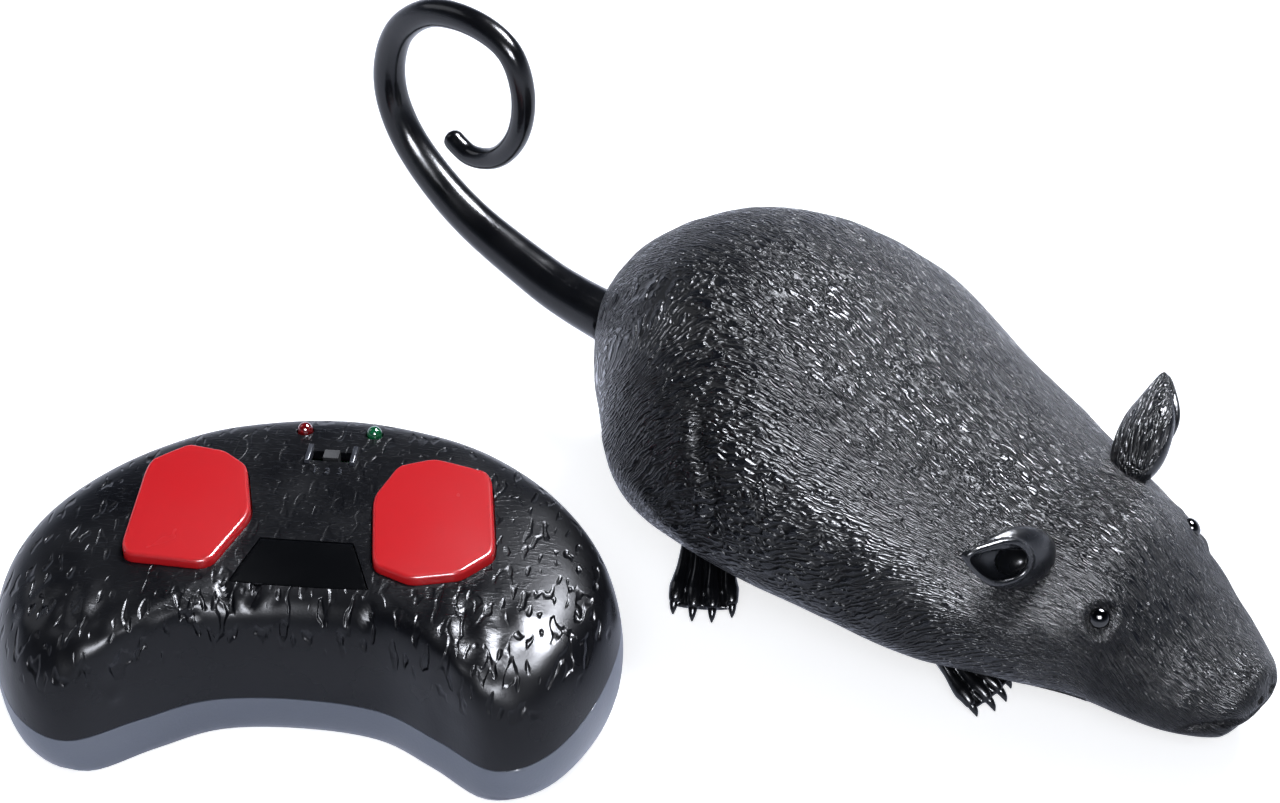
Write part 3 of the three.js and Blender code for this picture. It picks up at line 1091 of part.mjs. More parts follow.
// Power switch under the rump: a box on its footing and a slider whose knob shows below the belly
function addPowerSwitch() {
  const seat = switchSeat + GAP;
  const stem = SWITCH_STEM / 2;
  const pocket = block(switchAhead - stem - GAP, switchAhead + stem + GAP, -stem - SWITCH_TRAVEL / 2 - GAP,
    stem + SWITCH_TRAVEL / 2 + GAP, seat - OVERRUN, seat + SWITCH_HEIGHT / 2);
  const body = cut(block(switchAhead - SWITCH_WIDTH / 2, switchAhead + SWITCH_WIDTH / 2,
    -SWITCH_LENGTH / 2, SWITCH_LENGTH / 2, seat, seat + SWITCH_HEIGHT), pocket);
  const under = bellyAt(switchAhead) - GAP;
  const centre = -SWITCH_TRAVEL / 2;
  const knob = SWITCH_KNOB_LENGTH / 2;
  const slider = join(
    block(switchAhead - stem, switchAhead + stem, centre - stem, centre + stem, under - SWITCH_KNOB_DROP,
      seat + SWITCH_HEIGHT / 2 - GAP),
    block(switchAhead - knob, switchAhead + knob, centre - knob, centre + knob,
      under - SWITCH_KNOB_DROP, under - GAP));
  add(rat, 'power_switch_body', body, finishes.steel);
  add(rat, 'power_switch_slider', slider, finishes.greyPlastic);
}

function addRatElectronics() {
  addCells(rat, 'rat', RAT_BAY_AHEAD, 0, RAT_CELL_HEIGHT);
  const door = makeDoor(bodyWallForm, midBody, RAT_BAY_AHEAD, 0, RAT_CELL_HEIGHT, RAT_LUG_SEAT,
    RAT_DOOR_SCREW_SEAT, RAT_TONGUE_HEIGHT);
  const doorScrew = makeScrew(RAT_BAY_AHEAD, -lugScrewAside, RAT_DOOR_SCREW_SEAT - GAP);
  add(rat, 'rat_battery_door', door, finishes.blackPan);
  add(rat, 'rat_door_screw', doorScrew, finishes.steel);
  const base = ratBayTop + GAP;
  const top = base + BOARD_THICKNESS;
  const half = bayHalfWidth + BAY_WALL;
  const board = block(RAT_BAY_AHEAD - RAT_BOARD_LENGTH / 2, RAT_BAY_AHEAD + RAT_BOARD_LENGTH / 2,
    -half, half, base, top);
  const chipFront = RAT_BAY_AHEAD - CHIP_SETBACK;
  const chips = [-half / 2, half / 2].map((aside) => block(chipFront - CHIP_LENGTH, chipFront,
    aside - CHIP_WIDTH / 2, aside + CHIP_WIDTH / 2, base, top + CHIP_HEIGHT));
  add(rat, 'rat_circuit_board', join(board, ...chips), finishes.board);
  const eye = RAT_BAY_AHEAD + RECEIVER_AHEAD;
  const housing = block(eye, eye + RECEIVER_DEPTH, -RECEIVER_WIDTH / 2, RECEIVER_WIDTH / 2,
    top + GAP, top + GAP + RECEIVER_HEIGHT);
  const dome = new THREE.SphereGeometry(RECEIVER_DOME, ROUND_SIDES, SMALL_SIDES)
    .translate(eye + RECEIVER_DEPTH, 0, top + RECEIVER_HEIGHT / 2 + GAP);
  add(rat, 'infrared_receiver', join(housing, dome), finishes.receiver);
  screwSpots.forEach(([x, y], i) => {
    const side = i ? 'left' : 'right';
    add(rat, `${side}_pan_screw`, makeScrew(x, y, PAN_SCREW_SEAT - GAP), finishes.steel);
  });
}

// Handset form: one outline scaled and lifted ring by ring from the crown to the base
const handsetRight = handsetShares.map(([x, y]) => new THREE.Vector3(x * HANDSET_HALF, y * HANDSET_HALF, 0));
const handsetLeft = handsetRight.slice(1, -1).reverse()
  .map((point) => new THREE.Vector3(-point.x, point.y, 0));
const handsetLine = new THREE.CatmullRomCurve3([...handsetRight, ...handsetLeft], true, 'catmullrom',
  OUTLINE_TENSION);
const crownLine = crownShares.map(([scale, rise]) =>
  new THREE.Vector2(scale * HANDSET_HALF, rise * HANDSET_HEIGHT));
const crownRows = crownShares.length - 1;

// Direction that faces out of the crown's profile at one of its rows
function crownFacing(row) {
  const [before, after] = [crownLine[Math.max(row - 1, 0)], crownLine[Math.min(row + 1, crownRows)]];
  const along = after.clone().sub(before).normalize();
  return new THREE.Vector2(-along.y, along.x);
}

function handsetForm(inset, around) {
  const geometry = new THREE.SphereGeometry(1, around, crownRows);
  const { position, uv } = geometry.attributes;
  for (let i = 0; i < position.count; i += 1) {
    const row = Math.round((1 - uv.getY(i)) * crownRows);
    const [scale, rise] = crownShares[row];
    const facing = crownFacing(row);
    const way = ((Math.round(uv.getX(i) * around) + around) % around) / around;
    const along = handsetLine.getTangentAt(way);
    const point = handsetLine.getPointAt(way).multiplyScalar(scale);
    if (scale > 0) point.add(new THREE.Vector3(-along.y, along.x, 0).multiplyScalar(inset * facing.x));
    const height = rise * HANDSET_HEIGHT - inset * facing.y;
    position.setXYZ(i, point.x, point.y, Math.min(HANDSET_HEIGHT - inset, Math.max(inset, height)));
  }
  return geometry;
}

const handsetCavity = handsetForm(HANDSET_WALL, HANDSET_CAVITY_AROUND);
const handsetWallForm = cut(handsetForm(0, HANDSET_AROUND), handsetCavity);
const midHandset = handsetForm(HANDSET_WALL / 2, HANDSET_CAVITY_AROUND);

// All that lies below the seam, which climbs towards both ends
function belowSeam(shift) {
  const reach = HANDSET_HALF + OVERRUN;
  const [level, bend] = [reach * SEAM_LEVEL_SHARE, reach * SEAM_BEND_SHARE];
  const [low, high] = [SEAM_HEIGHT + shift, SEAM_HEIGHT + SEAM_RISE + shift];
  const shape = new THREE.Shape();
  shape.moveTo(-reach, -OVERRUN);
  shape.lineTo(reach, -OVERRUN);
  shape.lineTo(reach, high);
  shape.bezierCurveTo(bend, low, level, low, 0, low);
  shape.bezierCurveTo(-level, low, -bend, low, -reach, high);
  shape.closePath();
  return slabY(shape, -HANDSET_HALF, HANDSET_HALF);
}

const handsetPoints = (shares) =>
  shares.map(([x, y]) => new THREE.Vector2(x * HANDSET_HALF, y * HANDSET_HALF));

// Outline moved outward by a distance, corner by corner, for points that run counter-clockwise
function grown(points, distance) {
  return points.map((point, i) => {
    const before = points[(i + points.length - 1) % points.length];
    const after = points[(i + 1) % points.length];
    const [a, b] = [point.clone().sub(before).normalize(), after.clone().sub(point).normalize()];
    const [na, nb] = [new THREE.Vector2(a.y, -a.x), new THREE.Vector2(b.y, -b.x)];
    const miter = na.clone().add(nb).divideScalar(1 + na.dot(nb));
    return point.clone().addScaledVector(miter, distance);
  });
}

// Outline with its corners rounded
function roundedShape(points) {
  const shape = new THREE.Shape();
  points.forEach((point, i) => {
    const before = points[(i + points.length - 1) % points.length];
    const after = points[(i + 1) % points.length];
    const from = point.clone().lerp(before, BUTTON_CORNER_SHARE);
    const to = point.clone().lerp(after, BUTTON_CORNER_SHARE);
    if (i) shape.lineTo(from.x, from.y);
    else shape.moveTo(from.x, from.y);
    shape.quadraticCurveTo(point.x, point.y, to.x, to.y);
  });
  shape.closePath();
  return shape;
}

// Rounded outline given height, its two edges rounded by a bevel
const roundedSlab = (shape, depth, z, bevel) => new THREE.ExtrudeGeometry(shape, {
  depth: depth - 2 * bevel,
  curveSegments: CORNER_SEGMENTS,
  bevelEnabled: bevel > 0,
  bevelThickness: bevel,
  bevelSize: bevel,
  bevelOffset: -bevel,
  bevelSegments: EDGE_SEGMENTS,
}).translate(0, 0, z + bevel);

const handsetSpots = (shares) => shares.map(([x, y]) => [x * HANDSET_HALF, y * HANDSET_HALF]);
const ledSpots = handsetSpots(ledShares);
const postSpots = handsetSpots(postShares);
const handsetScrews = handsetSpots(handsetScrewShares);
const buttonAside = BUTTON_SPREAD_SHARE * HANDSET_HALF;
const boardTop = HANDSET_BOARD_HEIGHT + BOARD_THICKNESS;
const buttonTop = HANDSET_HEIGHT + BUTTON_PROUD;
const flangeTop = HANDSET_HEIGHT - BUTTON_FLANGE_DROP;
const flangeBase = flangeTop - BUTTON_FLANGE_THICKNESS;
const domeHeight = flangeBase - BUTTON_TRAVEL - 2 * GAP - boardTop;

function makeButton(shares, side) {
  const points = handsetPoints(shares);
  const rim = roundedShape(grown(points, BUTTON_FLANGE));
  const cap = roundedSlab(roundedShape(points), buttonTop - flangeBase, flangeBase, BUTTON_EDGE);
  const flange = roundedSlab(rim, BUTTON_FLANGE_THICKNESS, flangeBase, 0);
  const postBase = boardTop + 2 * GAP + domeHeight;
  const post = postZ(BUTTON_POST_RADIUS, side * buttonAside, 0, postBase, flangeTop, SMALL_SIDES);
  return join(cap, flange, post);
}

function makeDome(side) {
  const top = boardTop + GAP + domeHeight;
  const base = boardTop + GAP;
  const profile = [[DOME_RADIUS - DOME_WALL, base], [DOME_RADIUS, base], [DOME_TOP_RADIUS, top], [0, top],
    [0, top - DOME_WALL], [DOME_TOP_RADIUS - DOME_WALL, top - DOME_WALL], [DOME_RADIUS - DOME_WALL, base]];
  return turnedZ(profile, SMALL_SIDES).translate(side * buttonAside, 0, 0);
}

const ledTop = HANDSET_HEIGHT - LED_SURFACE_DROP + LED_PROUD;

function makeLed([x, y]) {
  const base = ledTop - LED_LENGTH;
  const rim = LED_RADIUS + LED_FLANGE;
  const waist = ledTop - LED_RADIUS;
  const slant = LED_RADIUS * Math.cos(Math.PI / 6);
  const lens = turnedZ([[0, base], [rim, base], [rim, base + LED_FLANGE_THICKNESS],
    [LED_RADIUS, base + LED_FLANGE_THICKNESS], [LED_RADIUS, waist], [slant, waist + LED_RADIUS / 2],
    [LED_RADIUS / 2, waist + slant], [0, ledTop]], SMALL_SIDES);
  const legs = [-LED_RADIUS / 2, LED_RADIUS / 2].map((aside) =>
    block(aside - LED_LEG / 2, aside + LED_LEG / 2, -LED_LEG / 2, LED_LEG / 2, boardTop + GAP, base + GAP));
  return join(lens, ...legs).translate(x, y, 0);
}

const emitterHeight = boardTop + EMITTER_RADIUS + GAP;
const emitterAside = EMITTER_SIDE_SHARE * HANDSET_HALF;
const emitterBack = EMITTER_BACK_SHARE * HANDSET_HALF;
const channelBack = CHANNEL_BACK_SHARE * HANDSET_HALF;
const doorY = HANDSET_BAY_BACK;
const handsetTongueHeight = HANDSET_WALL + 2 * GAP;

function makeTopShell() {
  const wall = cut(handsetWallForm, belowSeam(GAP / 2));
  const bosses = common(midHandset, join(...handsetScrews.map(([x, y]) =>
    postZ(SCREW_RADIUS + BOSS_WALL, x, y, SEAM_HEIGHT + GAP / 2, HANDSET_HEIGHT, SMALL_SIDES))));
  const windows = [leftButtonShares, rightButtonShares].map((shares) =>
    roundedSlab(roundedShape(grown(handsetPoints(shares), GAP)), HANDSET_HEIGHT, flangeBase, 0));
  const panelShape = new THREE.Shape(handsetPoints(panelShares));
  const panel = cut(slabZ(panelShape, HANDSET_HEIGHT / 2, HANDSET_HEIGHT + OVERRUN),
    handsetForm(PANEL_DEPTH, HANDSET_AROUND));
  const slot = block(-CHANNEL_SLOT_LENGTH / 2, CHANNEL_SLOT_LENGTH / 2, channelBack - CHANNEL_SLOT_WIDTH / 2,
    channelBack + CHANNEL_SLOT_WIDTH / 2, flangeBase, HANDSET_HEIGHT + OVERRUN);
  const ledHoles = ledSpots.map(([x, y]) =>
    postZ(LED_RADIUS + GAP, x, y, flangeBase, HANDSET_HEIGHT + OVERRUN, SMALL_SIDES));
  const emitterHole = rodY(EMITTER_RADIUS + GAP, emitterAside, emitterHeight,
    emitterBack - EMITTER_LENGTH, HANDSET_HALF);
  const pilots = handsetScrews.map(([x, y]) => postZ(SCREW_RADIUS + GAP, x, y, SEAM_HEIGHT - OVERRUN,
    HANDSET_SCREW_SEAT + SCREW_LENGTH + GAP, SMALL_SIDES));
  return cut(join(wall, bosses), ...windows, panel, slot, ...ledHoles, emitterHole, ...pilots);
}

function makeBottomShell() {
  const wall = common(handsetWallForm, belowSeam(-GAP / 2));
  const bayTop = HANDSET_CELL_HEIGHT + CELL_RADIUS + GAP;
  const inside = join(
    bayWalls(0, doorY, HANDSET_WALL / 2, bayTop, HANDSET_LUG_SEAT, HANDSET_LUG_SEAT + SCREW_LENGTH),
    ...postSpots.map(([x, y]) =>
      postZ(POST_RADIUS, x, y, HANDSET_WALL / 2, HANDSET_BOARD_HEIGHT - GAP, SMALL_SIDES)),
    ...handsetScrews.map(([x, y]) => postZ(SCREW_HEAD_RADIUS + GAP + BOSS_WALL, x, y, HANDSET_WALL / 2,
      SEAM_HEIGHT - GAP / 2, SMALL_SIDES)));
  const pilotTop = HANDSET_LUG_SEAT + SCREW_LENGTH - GAP;
  return cut(join(wall, inside),
    doorBlocks(0, doorY, -OVERRUN, HANDSET_LUG_SEAT, 0),
    tongue(0, doorY, handsetTongueHeight, GAP),
    postZ(SCREW_RADIUS + GAP, 0, doorY - lugScrewAside, 0, pilotTop, SMALL_SIDES),
    ...handsetScrews.flatMap(([x, y]) => [
      postZ(SCREW_HEAD_RADIUS + GAP, x, y, -OVERRUN, HANDSET_SCREW_SEAT, SMALL_SIDES),
      postZ(SCREW_RADIUS + GAP, x, y, 0, SEAM_HEIGHT + OVERRUN, SMALL_SIDES)]));
}

function addHandset() {
  add(handset, 'handset_top_shell', makeTopShell(), finishes.blackShell);
  add(handset, 'handset_bottom_shell', makeBottomShell(), finishes.blackShell);
  add(handset, 'left_button', makeButton(leftButtonShares, -1), finishes.red);
  add(handset, 'right_button', makeButton(rightButtonShares, 1), finishes.red);
  add(handset, 'left_button_dome', makeDome(-1), finishes.silicone);
  add(handset, 'right_button_dome', makeDome(1), finishes.silicone);
  add(handset, 'red_led', makeLed(ledSpots[0]), finishes.redLens);
  add(handset, 'green_led', makeLed(ledSpots[1]), finishes.greenLens);
  const boardShape = new THREE.Shape(handsetPoints(handsetBoardShares));
  add(handset, 'handset_circuit_board', slabZ(boardShape, HANDSET_BOARD_HEIGHT, boardTop), finishes.board);
  const barrel = rodY(EMITTER_RADIUS, emitterAside, emitterHeight, emitterBack - EMITTER_LENGTH,
    emitterBack - EMITTER_RADIUS);
  const nose = new THREE.SphereGeometry(EMITTER_RADIUS, ROUND_SIDES, SMALL_SIDES)
    .translate(emitterAside, emitterBack - EMITTER_RADIUS, emitterHeight);
  add(handset, 'infrared_emitter', join(barrel, nose), finishes.receiver);
  addChannelSwitch();
  addCells(handset, 'handset', 0, doorY, HANDSET_CELL_HEIGHT);
  const door = makeDoor(handsetWallForm, midHandset, 0, doorY, HANDSET_CELL_HEIGHT, HANDSET_LUG_SEAT,
    HANDSET_DOOR_SCREW_SEAT, handsetTongueHeight);
  const doorScrew = makeScrew(0, doorY - lugScrewAside, HANDSET_DOOR_SCREW_SEAT - GAP);
  add(handset, 'handset_battery_door', door, finishes.blackShell);
  add(handset, 'handset_door_screw', doorScrew, finishes.steel);
  handsetScrews.forEach(([x, y], i) => {
    const side = i ? 'right' : 'left';
    add(handset, `${side}_handset_screw`, makeScrew(x, y, HANDSET_SCREW_SEAT - GAP), finishes.steel);
  });
}

// Channel switch: a box on the board whose knob reaches up through the slot
function addChannelSwitch() {
  const base = boardTop + GAP;
  const top = base + CHANNEL_BODY_HEIGHT;
  const knob = CHANNEL_KNOB_LENGTH / 2;
  const width = CHANNEL_SLOT_WIDTH / 2 - GAP;
  const reach = knob + CHANNEL_TRAVEL + GAP;
  const body = cut(
    block(-CHANNEL_BODY_LENGTH / 2, CHANNEL_BODY_LENGTH / 2, channelBack - CHANNEL_BODY_WIDTH / 2,
      channelBack + CHANNEL_BODY_WIDTH / 2, base, top),
    block(-reach, reach, channelBack - width - GAP, channelBack + width + GAP,
      top - CHANNEL_BODY_HEIGHT / 2, top + OVERRUN));
  add(handset, 'channel_switch_body', body, finishes.steel);
  add(handset, 'channel_switch_knob', block(-knob, knob, channelBack - width, channelBack + width,
    top - CHANNEL_BODY_HEIGHT / 2 + GAP, HANDSET_HEIGHT + CHANNEL_KNOB_PROUD), finishes.blackShell);
}

addBody();
addDrive();
addPowerSwitch();
addRatElectronics();
addHandset();

// The origin is the middle of the footprint, on the floor
const extent = new THREE.Box3().setFromObject(assembly, true);
const middle = extent.getCenter(new THREE.Vector3());
assembly.position.set(-middle.x, -middle.y, -extent.min.z);
assembly.updateMatrixWorld(true);

export default assembly;
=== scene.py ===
"""Dresses the toy rat and its handset: moulded fur, glossy limbs, red keys and the studio round them."""
import logging
import math
from collections.abc import Sequence
from dataclasses import dataclass, field, replace
from enum import Enum

import bmesh
import bpy
from bmesh.types import BMesh, BMLayerItem, BMVert
from bpy.types import Material, Node, NodeSocket, NodeTree, Object
from mathutils import Matrix, Vector, noise


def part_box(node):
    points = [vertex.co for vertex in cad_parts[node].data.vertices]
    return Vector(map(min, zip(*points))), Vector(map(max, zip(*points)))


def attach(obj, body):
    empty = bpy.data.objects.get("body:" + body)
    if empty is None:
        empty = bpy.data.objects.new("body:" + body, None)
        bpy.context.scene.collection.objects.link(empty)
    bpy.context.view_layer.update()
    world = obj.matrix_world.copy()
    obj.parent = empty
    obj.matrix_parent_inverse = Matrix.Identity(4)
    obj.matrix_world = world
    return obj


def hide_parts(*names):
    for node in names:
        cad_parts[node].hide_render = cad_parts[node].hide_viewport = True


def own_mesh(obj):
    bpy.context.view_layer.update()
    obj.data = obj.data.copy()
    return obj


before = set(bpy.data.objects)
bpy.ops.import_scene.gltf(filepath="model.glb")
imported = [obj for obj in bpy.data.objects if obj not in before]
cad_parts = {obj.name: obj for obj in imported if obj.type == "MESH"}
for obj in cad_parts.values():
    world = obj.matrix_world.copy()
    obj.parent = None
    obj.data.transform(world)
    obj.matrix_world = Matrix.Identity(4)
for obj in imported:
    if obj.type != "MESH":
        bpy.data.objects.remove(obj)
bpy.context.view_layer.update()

MM = 0.001
PER_METRE = 1000.0
# How far a cutting tool stands out past what it cuts, in millimetres
PAST = 1.0
UP = Vector((0, 0, 1))
BACKWARD = Vector((0, 1, 0))
Outline = list[tuple[float, float]]
Spot = tuple[float, float, float]
log = logging.getLogger("rat_toy")


# Colour and node helpers

def linear(code: str) -> tuple[float, float, float, float]:
    """Turns an sRGB colour into the linear one that shaders take.

    Args:
        code: Six hexadecimal digits after a hash.

    Returns:
        Red, green, blue and an alpha of one.
    """
    shares = [int(code[i:i + 2], 16) / 255 for i in (1, 3, 5)]
    red, green, blue = [s / 12.92 if s <= 0.04045 else ((s + 0.055) / 1.055) ** 2.4 for s in shares]
    return red, green, blue, 1.0


def set_inputs(tree: NodeTree, node: Node, inputs: dict) -> None:
    """Fills or links a node's inputs.

    Args:
        tree: The material's or world's node tree.
        node: The node.
        inputs: Socket name or number to a plain value, an output socket, or a node for its first output.
    """
    for key, value in inputs.items():
        if isinstance(value, Node):
            value = value.outputs[0]
        if isinstance(value, NodeSocket):
            tree.links.new(value, node.inputs[key])
        else:
            node.inputs[key].default_value = value


def add_node(tree: NodeTree, kind: str, inputs: dict | None = None,
             **settings: object) -> Node:
    """Adds a node with its settings and links.

    Args:
        tree: The material's or world's node tree.
        kind: The node's type name.
        inputs: What its inputs are given, as in set_inputs.
        settings: Properties of the node itself.

    Returns:
        The new node.
    """
    node = tree.nodes.new(kind)
    for name, value in settings.items():
        setattr(node, name, value)
    set_inputs(tree, node, inputs or {})
    return node


def set_stops(ramp: Node, stops: list[tuple[float, str]]) -> None:
    """Gives a colour ramp its stops.

    Args:
        ramp: A colour ramp node.
        stops: Place and sRGB colour of each stop.
    """
    elements = ramp.color_ramp.elements
    while len(elements) > len(stops):
        elements.remove(elements[-1])
    while len(elements) < len(stops):
        elements.new(1.0)
    for element, (place, colour) in zip(elements, stops):
        element.position = place
        element.color = linear(colour)


class Flow(Enum):
    """Where the strokes of the fur take their direction from."""

    ALONG_SKIN = "fur_flow"
    ALONG_BODY = "object"


@dataclass(frozen=True)
class Finish:
    """A finish: its material name and the values that are alike all over it."""

    name: str
    colour: str = "#1c1d20"
    roughness: float = 0.4
    specular: float = 0.5

    def build(self) -> Material:
        """Makes the material once and hands the same one out after that."""
        found = bpy.data.materials.get(self.name)
        if found:
            return found
        material = bpy.data.materials.new(self.name)
        material.use_nodes = True
        tree = material.node_tree
        tree.nodes.clear()
        shader = add_node(tree, "ShaderNodeBsdfPrincipled", {
            "Base Color": linear(self.colour), "Roughness": self.roughness,
            "Specular IOR Level": self.specular})
        add_node(tree, "ShaderNodeOutputMaterial", {"Surface": shader})
        self.pattern(tree, shader)
        return material

    def places(self, tree: NodeTree, grain: Spot, turn: float = 0.0,
               origin: Vector | None = None) -> NodeSocket:
        """Object coordinates in units of the pattern's grain.

        Args:
            tree: The material's node tree.
            grain: Length, width and height of one grain in millimetres.
            turn: Turn of the pattern about Z in radians.
            origin: A point of the object that the pattern starts from.

        Returns:
            The socket that carries the coordinates.
        """
        where = add_node(tree, "ShaderNodeTexCoord").outputs["Object"]
        if origin is not None or turn:
            shift = origin if origin is not None else Vector()
            where = add_node(tree, "ShaderNodeMapping", {
                "Vector": where, "Location": shift, "Rotation": (0.0, 0.0, turn)},
                vector_type="TEXTURE").outputs["Vector"]
        scale = [PER_METRE / size for size in grain]
        return add_node(tree, "ShaderNodeMapping", {"Vector": where, "Scale": scale}).outputs["Vector"]

    def pattern(self, tree: NodeTree, shader: Node) -> None:
        """Adds what varies over the surface; each finish has its own."""


@dataclass(frozen=True)
class MouldedPlastic(Finish):
    """Injection moulded plastic: an even colour under a fine matt grain with faint cloudy wear."""

    grain: float = 0.5
    depth: float = 0.015
    cloud: float = 14.0
    spread: float = 0.06

    def pattern(self, tree: NodeTree, shader: Node) -> None:
        """Fine grain in the bump, slow clouds in the gloss."""
        fine = add_node(tree, "ShaderNodeTexNoise", {
            "Vector": self.places(tree, (self.grain,) * 3), "Scale": 1.0, "Detail": 2.0})
        clouds = add_node(tree, "ShaderNodeTexNoise", {
            "Vector": self.places(tree, (self.cloud,) * 3), "Scale": 1.0, "Detail": 3.0})
        gloss = add_node(tree, "ShaderNodeMapRange", {
            "Value": clouds, "From Min": 0.3, "From Max": 0.7,
            "To Min": max(0.02, self.roughness - self.spread), "To Max": self.roughness + self.spread})
        bump = add_node(tree, "ShaderNodeBump", {
            "Height": fine, "Strength": 1.0, "Distance": self.depth * MM})
        set_inputs(tree, shader, {"Roughness": gloss, "Normal": bump})


@dataclass(frozen=True)
class FurVinyl(Finish):
    """Soft black vinyl moulded with engraved hair: thin wavy grooves between glossy, finely streaked ridges.

    The real hair is finer. Strokes less than 0.7 mm apart turn to an even grey at the render's size, so
    they are drawn as coarse as they need to be to show. Their colour is painted: painted shade darkens the
    grooves and a painted sheen lightens the ridges.
    """

    flow: Flow = Flow.ALONG_SKIN
    # Groove and ridge colours: painted shade in the grooves and a painted sheen on the ridges
    painted_groove_shade: str = "#010102"
    painted_ridge_sheen: str = "#121419"
    stroke: tuple[float, float] = (4.8, 0.78)
    cut: float = 0.22
    depth: float = 0.7
    hair: tuple[float, float] = (2.0, 0.42)
    hair_depth: float = 0.16
    dullness: float = 0.25
    sway: Spot = (0.0, 1.6, 3.0)
    sway_size: float = 5.0

    def strokes(self, tree: NodeTree, size: tuple[float, float]) -> NodeSocket:
        """Coordinates that are stretched along the fur.

        Args:
            tree: The material's node tree.
            size: Length and spacing of the strokes in millimetres.

        Returns:
            The socket that carries the coordinates.
        """
        if self.flow is Flow.ALONG_BODY:
            return self.places(tree, (size[0], size[1], size[1]))
        flow = add_node(tree, "ShaderNodeAttribute", attribute_name=self.flow.value).outputs["Vector"]
        # The strokes waver by about a millimetre over each half centimetre
        sway = add_node(tree, "ShaderNodeTexNoise", {
            "Vector": self.places(tree, (self.sway_size,) * 3), "Scale": 1.0, "Detail": 2.0}).outputs["Color"]
        centred = add_node(tree, "ShaderNodeVectorMath", {0: sway, 1: (0.5, 0.5, 0.5)}, operation="SUBTRACT")
        swayed = add_node(tree, "ShaderNodeVectorMath", {
            0: centred.outputs["Vector"], 1: self.sway, 2: flow}, operation="MULTIPLY_ADD")
        scale = (1 / size[0], 1 / size[1], 1 / size[1])
        return add_node(tree, "ShaderNodeMapping", {
            "Vector": swayed.outputs["Vector"], "Scale": scale}).outputs["Vector"]

    def pattern(self, tree: NodeTree, shader: Node) -> None:
        """Thin grooves where a stretched noise crosses its middle, with finer hair on the ridges between."""
        broad = add_node(tree, "ShaderNodeTexNoise", {
            "Vector": self.strokes(tree, self.stroke), "Scale": 1.0, "Detail": 0.4, "Roughness": 0.5})
        away = add_node(tree, "ShaderNodeMath", {0: broad, 1: 0.5}, operation="SUBTRACT")
        gap = add_node(tree, "ShaderNodeMath", {0: away}, operation="ABSOLUTE")
        height = add_node(tree, "ShaderNodeMapRange", {
            "Value": gap, "From Min": 0.0, "From Max": self.cut},
            interpolation_type="SMOOTHSTEP").outputs["Result"]
        fine = add_node(tree, "ShaderNodeTexNoise", {
            "Vector": self.strokes(tree, self.hair), "Scale": 1.0, "Detail": 2.0, "Roughness": 0.6})
        broad_bump = add_node(tree, "ShaderNodeBump", {
            "Height": height, "Strength": 1.0, "Distance": self.depth * MM})
        fine_bump = add_node(tree, "ShaderNodeBump", {
            "Height": fine, "Strength": 1.0, "Distance": self.hair_depth * MM,
            "Normal": broad_bump})
        # Near black in the grooves to paler grey on the ridges: painted shade in the grooves, painted sheen
        # on the ridges
        colour = add_node(tree, "ShaderNodeValToRGB", {"Fac": height})
        set_stops(colour, [(0.0, self.painted_groove_shade), (0.35, self.colour), (1.0, self.painted_ridge_sheen)])
        gloss = add_node(tree, "ShaderNodeMapRange", {
            "Value": height, "From Min": 0.0, "From Max": 1.0,
            "To Min": self.roughness + self.dullness, "To Max": self.roughness})
        set_inputs(tree, shader, {"Base Color": colour, "Roughness": gloss, "Normal": fine_bump})


